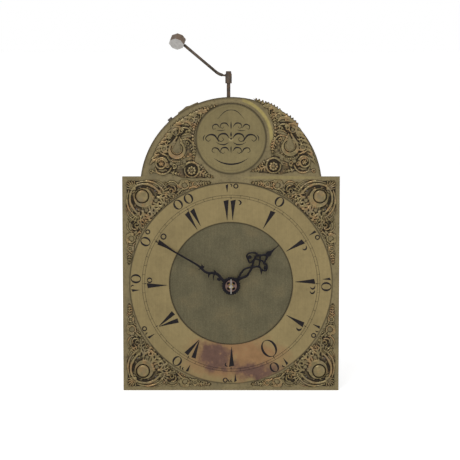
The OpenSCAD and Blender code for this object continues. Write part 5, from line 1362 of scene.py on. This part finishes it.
class CLOCK_OT_hands(bpy.types.Operator):
    """Builds the pierced hour hand, the scrolled minute hand with its collet, and the washer"""
    bl_idname = "clock.hands"
    bl_label = "Hands"
    THICK = 1.2  # mm at a ridge

    def build(self, name, node, body, angle, strokes, low, high, step, material, slot):
        a = np.arange(low[0], high[0], step)
        b = np.arange(low[1], high[1], step)
        reach, height = draw(a, b, strokes, 0.0)
        rows, faces, wear_and_shade = relief(a, b, reach, height, 0.4)
        back = box_mm(node)[1].y
        x = rows[:, 1] * math.sin(angle) + rows[:, 0] * math.cos(angle)
        z = HANDS_Z + rows[:, 1] * math.cos(angle) - rows[:, 0] * math.sin(angle)
        verts = np.column_stack([x, back - rows[:, 2], z]) * MM
        piece_from(name, verts, faces, material, [node], wear_and_shade, 50, body)

    def execute(self, context):
        size = sizes()
        step = size.hand_step / MM
        thick = self.THICK

        def drawn(lines):
            return [stroke("ridge", thick, *line) for line in lines]
        hour = drawn(HOUR_LINES) + [
            stroke("flat", thick, (0, 0, 9.5)), hole((0, 0, 5.7))]
        self.build("pierced_hour_hand", "hour_hand", "hour", size.hour_angle, hour,
                   (-22, -12), (22, 92), step, "flame_blued_steel", "blued_steel")
        minute = drawn(MINUTE_LINES) + [
            stroke("flat", thick * 0.7, (0, 0, 11.4)),
            spiral("round", thick, (0, 0), 10.4, 10.4, 0, 360, 0.9, 0.9, 48),
            *beads(thick, (0, 0), 11.7, 0, 345, 24, 1.35),
            hole((0, 0, 4.1))]
        self.build("scrolled_minute_hand", "minute_hand", "minute", size.minute_angle, minute,
                   (-14, -15), (14, 126), step, "flame_blued_steel", "blued_steel")
        # a dome on a flat rim, with four cuts that have soft edges
        dome = [stroke("round", 1.8, (0, 0, 8.35)), stroke("flat", 1.3, (0, 0, 7.4))]
        for k in range(4):
            a = math.radians(45 + 90 * k)
            for kind, level, start, end in (("dip", 0.6, 1.6, 2.7), ("hole", 0, 1.1, 2.1)):
                dome.append((kind, level, np.array([[3.3 * math.sin(a), 3.3 * math.cos(a), start],
                                                    [5.0 * math.sin(a), 5.0 * math.cos(a), end]])))
        dome.append(hole((0, 0, 2.5)))
        self.build("domed_washer", "hand_washer", "frame", 0.0, dome, (-10, -10), (10, 10), 0.25,
                   "copper_pink_brass", "copper_brass")
        return {"FINISHED"}


class CLOCK_OT_stage(bpy.types.Operator):
    """Sets the pale floor, the soft lamps, the white surround and the camera"""
    bl_idname = "clock.stage"
    bl_label = "Stage"
    # the camera looks down by 6 degrees, from 2.5 m away
    CAMERA = (-0.00146, -2.5313, 0.44946)
    AIM = (-0.00146, -0.045, 0.18814)
    LENS = 139.3
    FLOOR_HALF = 90  # m
    FLOOR_GAP = 0.0004  # m between the dial's lower edge and the floor
    LIT = (0, 0, 0.2)  # where both lamps point

    def lamp(self, name, place, width, watts):
        data = bpy.data.lights.new(name, "AREA")
        data.shape = "DISK"
        data.size = width
        data.energy = watts
        lamp = bpy.data.objects.new(name, data)
        lamp.location = place
        lamp.rotation_euler = (Vector(self.LIT) - Vector(place)).to_track_quat("-Z", "Y").to_euler()
        bpy.context.scene.collection.objects.link(lamp)

    def seen(self, tree, *kinds):
        """1 for rays of these kinds, for which the surround looks white, and 0 for others."""
        rays = [add(tree, "ShaderNodeLightPath").outputs[f"Is {kind} Ray"] for kind in kinds]
        while len(rays) > 1:
            rays[:2] = [add(tree, "ShaderNodeMath", {0: rays[0], 1: rays[1]},
                            operation="MAXIMUM").outputs[0]]
        return rays[0]

    def execute(self, context):
        scene = context.scene
        tree, shader, where = begin("pale_floor", 0.0, 0.9)
        tone = patches(tree, where, 300, [(0.3, 0.86), (0.7, 0.9)], 2)
        tree.links.new(tone, shader.inputs["Base Color"])
        # the camera sees the lit floor as white, and the shadow on it stays
        share = add(tree, "ShaderNodeMath", {0: self.seen(tree, "Camera", "Glossy"), 1: 0.6},
                    operation="MULTIPLY")
        glow = add(tree, "ShaderNodeEmission", {"Color": (1, 1, 1, 1), "Strength": share.outputs[0]})
        both = add(tree, "ShaderNodeAddShader", {0: shader.outputs[0], 1: glow.outputs[0]})
        output = next(n for n in tree.nodes if n.type == "OUTPUT_MATERIAL")
        tree.links.new(both.outputs[0], output.inputs["Surface"])
        ground = CAD_BOX[0].z - self.FLOOR_GAP
        far = self.FLOOR_HALF
        mesh = bpy.data.meshes.new("floor")
        mesh.from_pydata([(-far, -far, ground), (far, -far, ground), (far, far, ground),
                          (-far, far, ground)], [], [(0, 1, 2, 3)])
        mesh.materials.append(bpy.data.materials["pale_floor"])
        floor = bpy.data.objects.new("floor", mesh)
        scene.collection.objects.link(floor)
        world = bpy.data.worlds.new("white_room")
        world.use_nodes = True
        tree = world.node_tree
        tree.nodes.clear()
        seen = self.seen(tree, "Camera", "Glossy", "Transmission")
        strength = add(tree, "ShaderNodeMapRange", {"Value": seen, "To Min": 0.42, "To Max": 1.0})
        sky = add(tree, "ShaderNodeBackground", {"Color": (1, 1, 1, 1),
                                                 "Strength": strength.outputs[0]})
        add(tree, "ShaderNodeOutputWorld", {"Surface": sky.outputs[0]})
        scene.world = world
        self.lamp("key", (-0.5, -1.5, 1.9), 0.9, 22)
        self.lamp("fill", (1.3, -1.6, 0.7), 1.2, 5)
        data = bpy.data.cameras.new("camera")
        data.sensor_width = 36
        data.lens = self.LENS
        data.clip_start, data.clip_end = 0.05, 200
        camera = bpy.data.objects.new("camera", data)
        camera.location = self.CAMERA
        camera.rotation_euler = (Vector(self.AIM) - Vector(self.CAMERA)).to_track_quat(
            "-Z", "Y").to_euler()
        scene.collection.objects.link(camera)
        scene.camera = camera
        scene.view_settings.view_transform = "Standard"
        return {"FINISHED"}


STEPS = (CLOCK_OT_finishes, CLOCK_OT_corner_castings, CLOCK_OT_arch_castings, CLOCK_OT_ring_figures,
         CLOCK_OT_boss_engraving, CLOCK_OT_forgings, CLOCK_OT_hands, CLOCK_OT_stage)


class CLOCK_PT_dial(bpy.types.Panel):
    """Lists the steps that build the clock's looks, with their sizes and colours"""
    bl_idname = "CLOCK_PT_dial"
    bl_label = "Clock dial"
    bl_space_type = "VIEW_3D"
    bl_region_type = "UI"
    bl_category = "Clock dial"

    def draw(self, context):
        for step in STEPS:
            self.layout.operator(step.bl_idname)
        for group in (sizes(), colours()):
            for name in group.__annotations__:
                self.layout.prop(group, name)


CLASSES = (ClockSizes, ClockColours, *STEPS, CLOCK_PT_dial)


def register():
    for item in CLASSES:
        bpy.utils.register_class(item)
    bpy.types.Scene.clock_sizes = PointerProperty(type=ClockSizes)
    bpy.types.Scene.clock_colours = PointerProperty(type=ClockColours)


def unregister():
    del bpy.types.Scene.clock_colours
    del bpy.types.Scene.clock_sizes
    for item in reversed(CLASSES):
        bpy.utils.unregister_class(item)


def main():
    register()
    for step in STEPS:
        getattr(bpy.ops.clock, step.bl_idname.split(".")[1])()


if __name__ == "__main__":
    main()
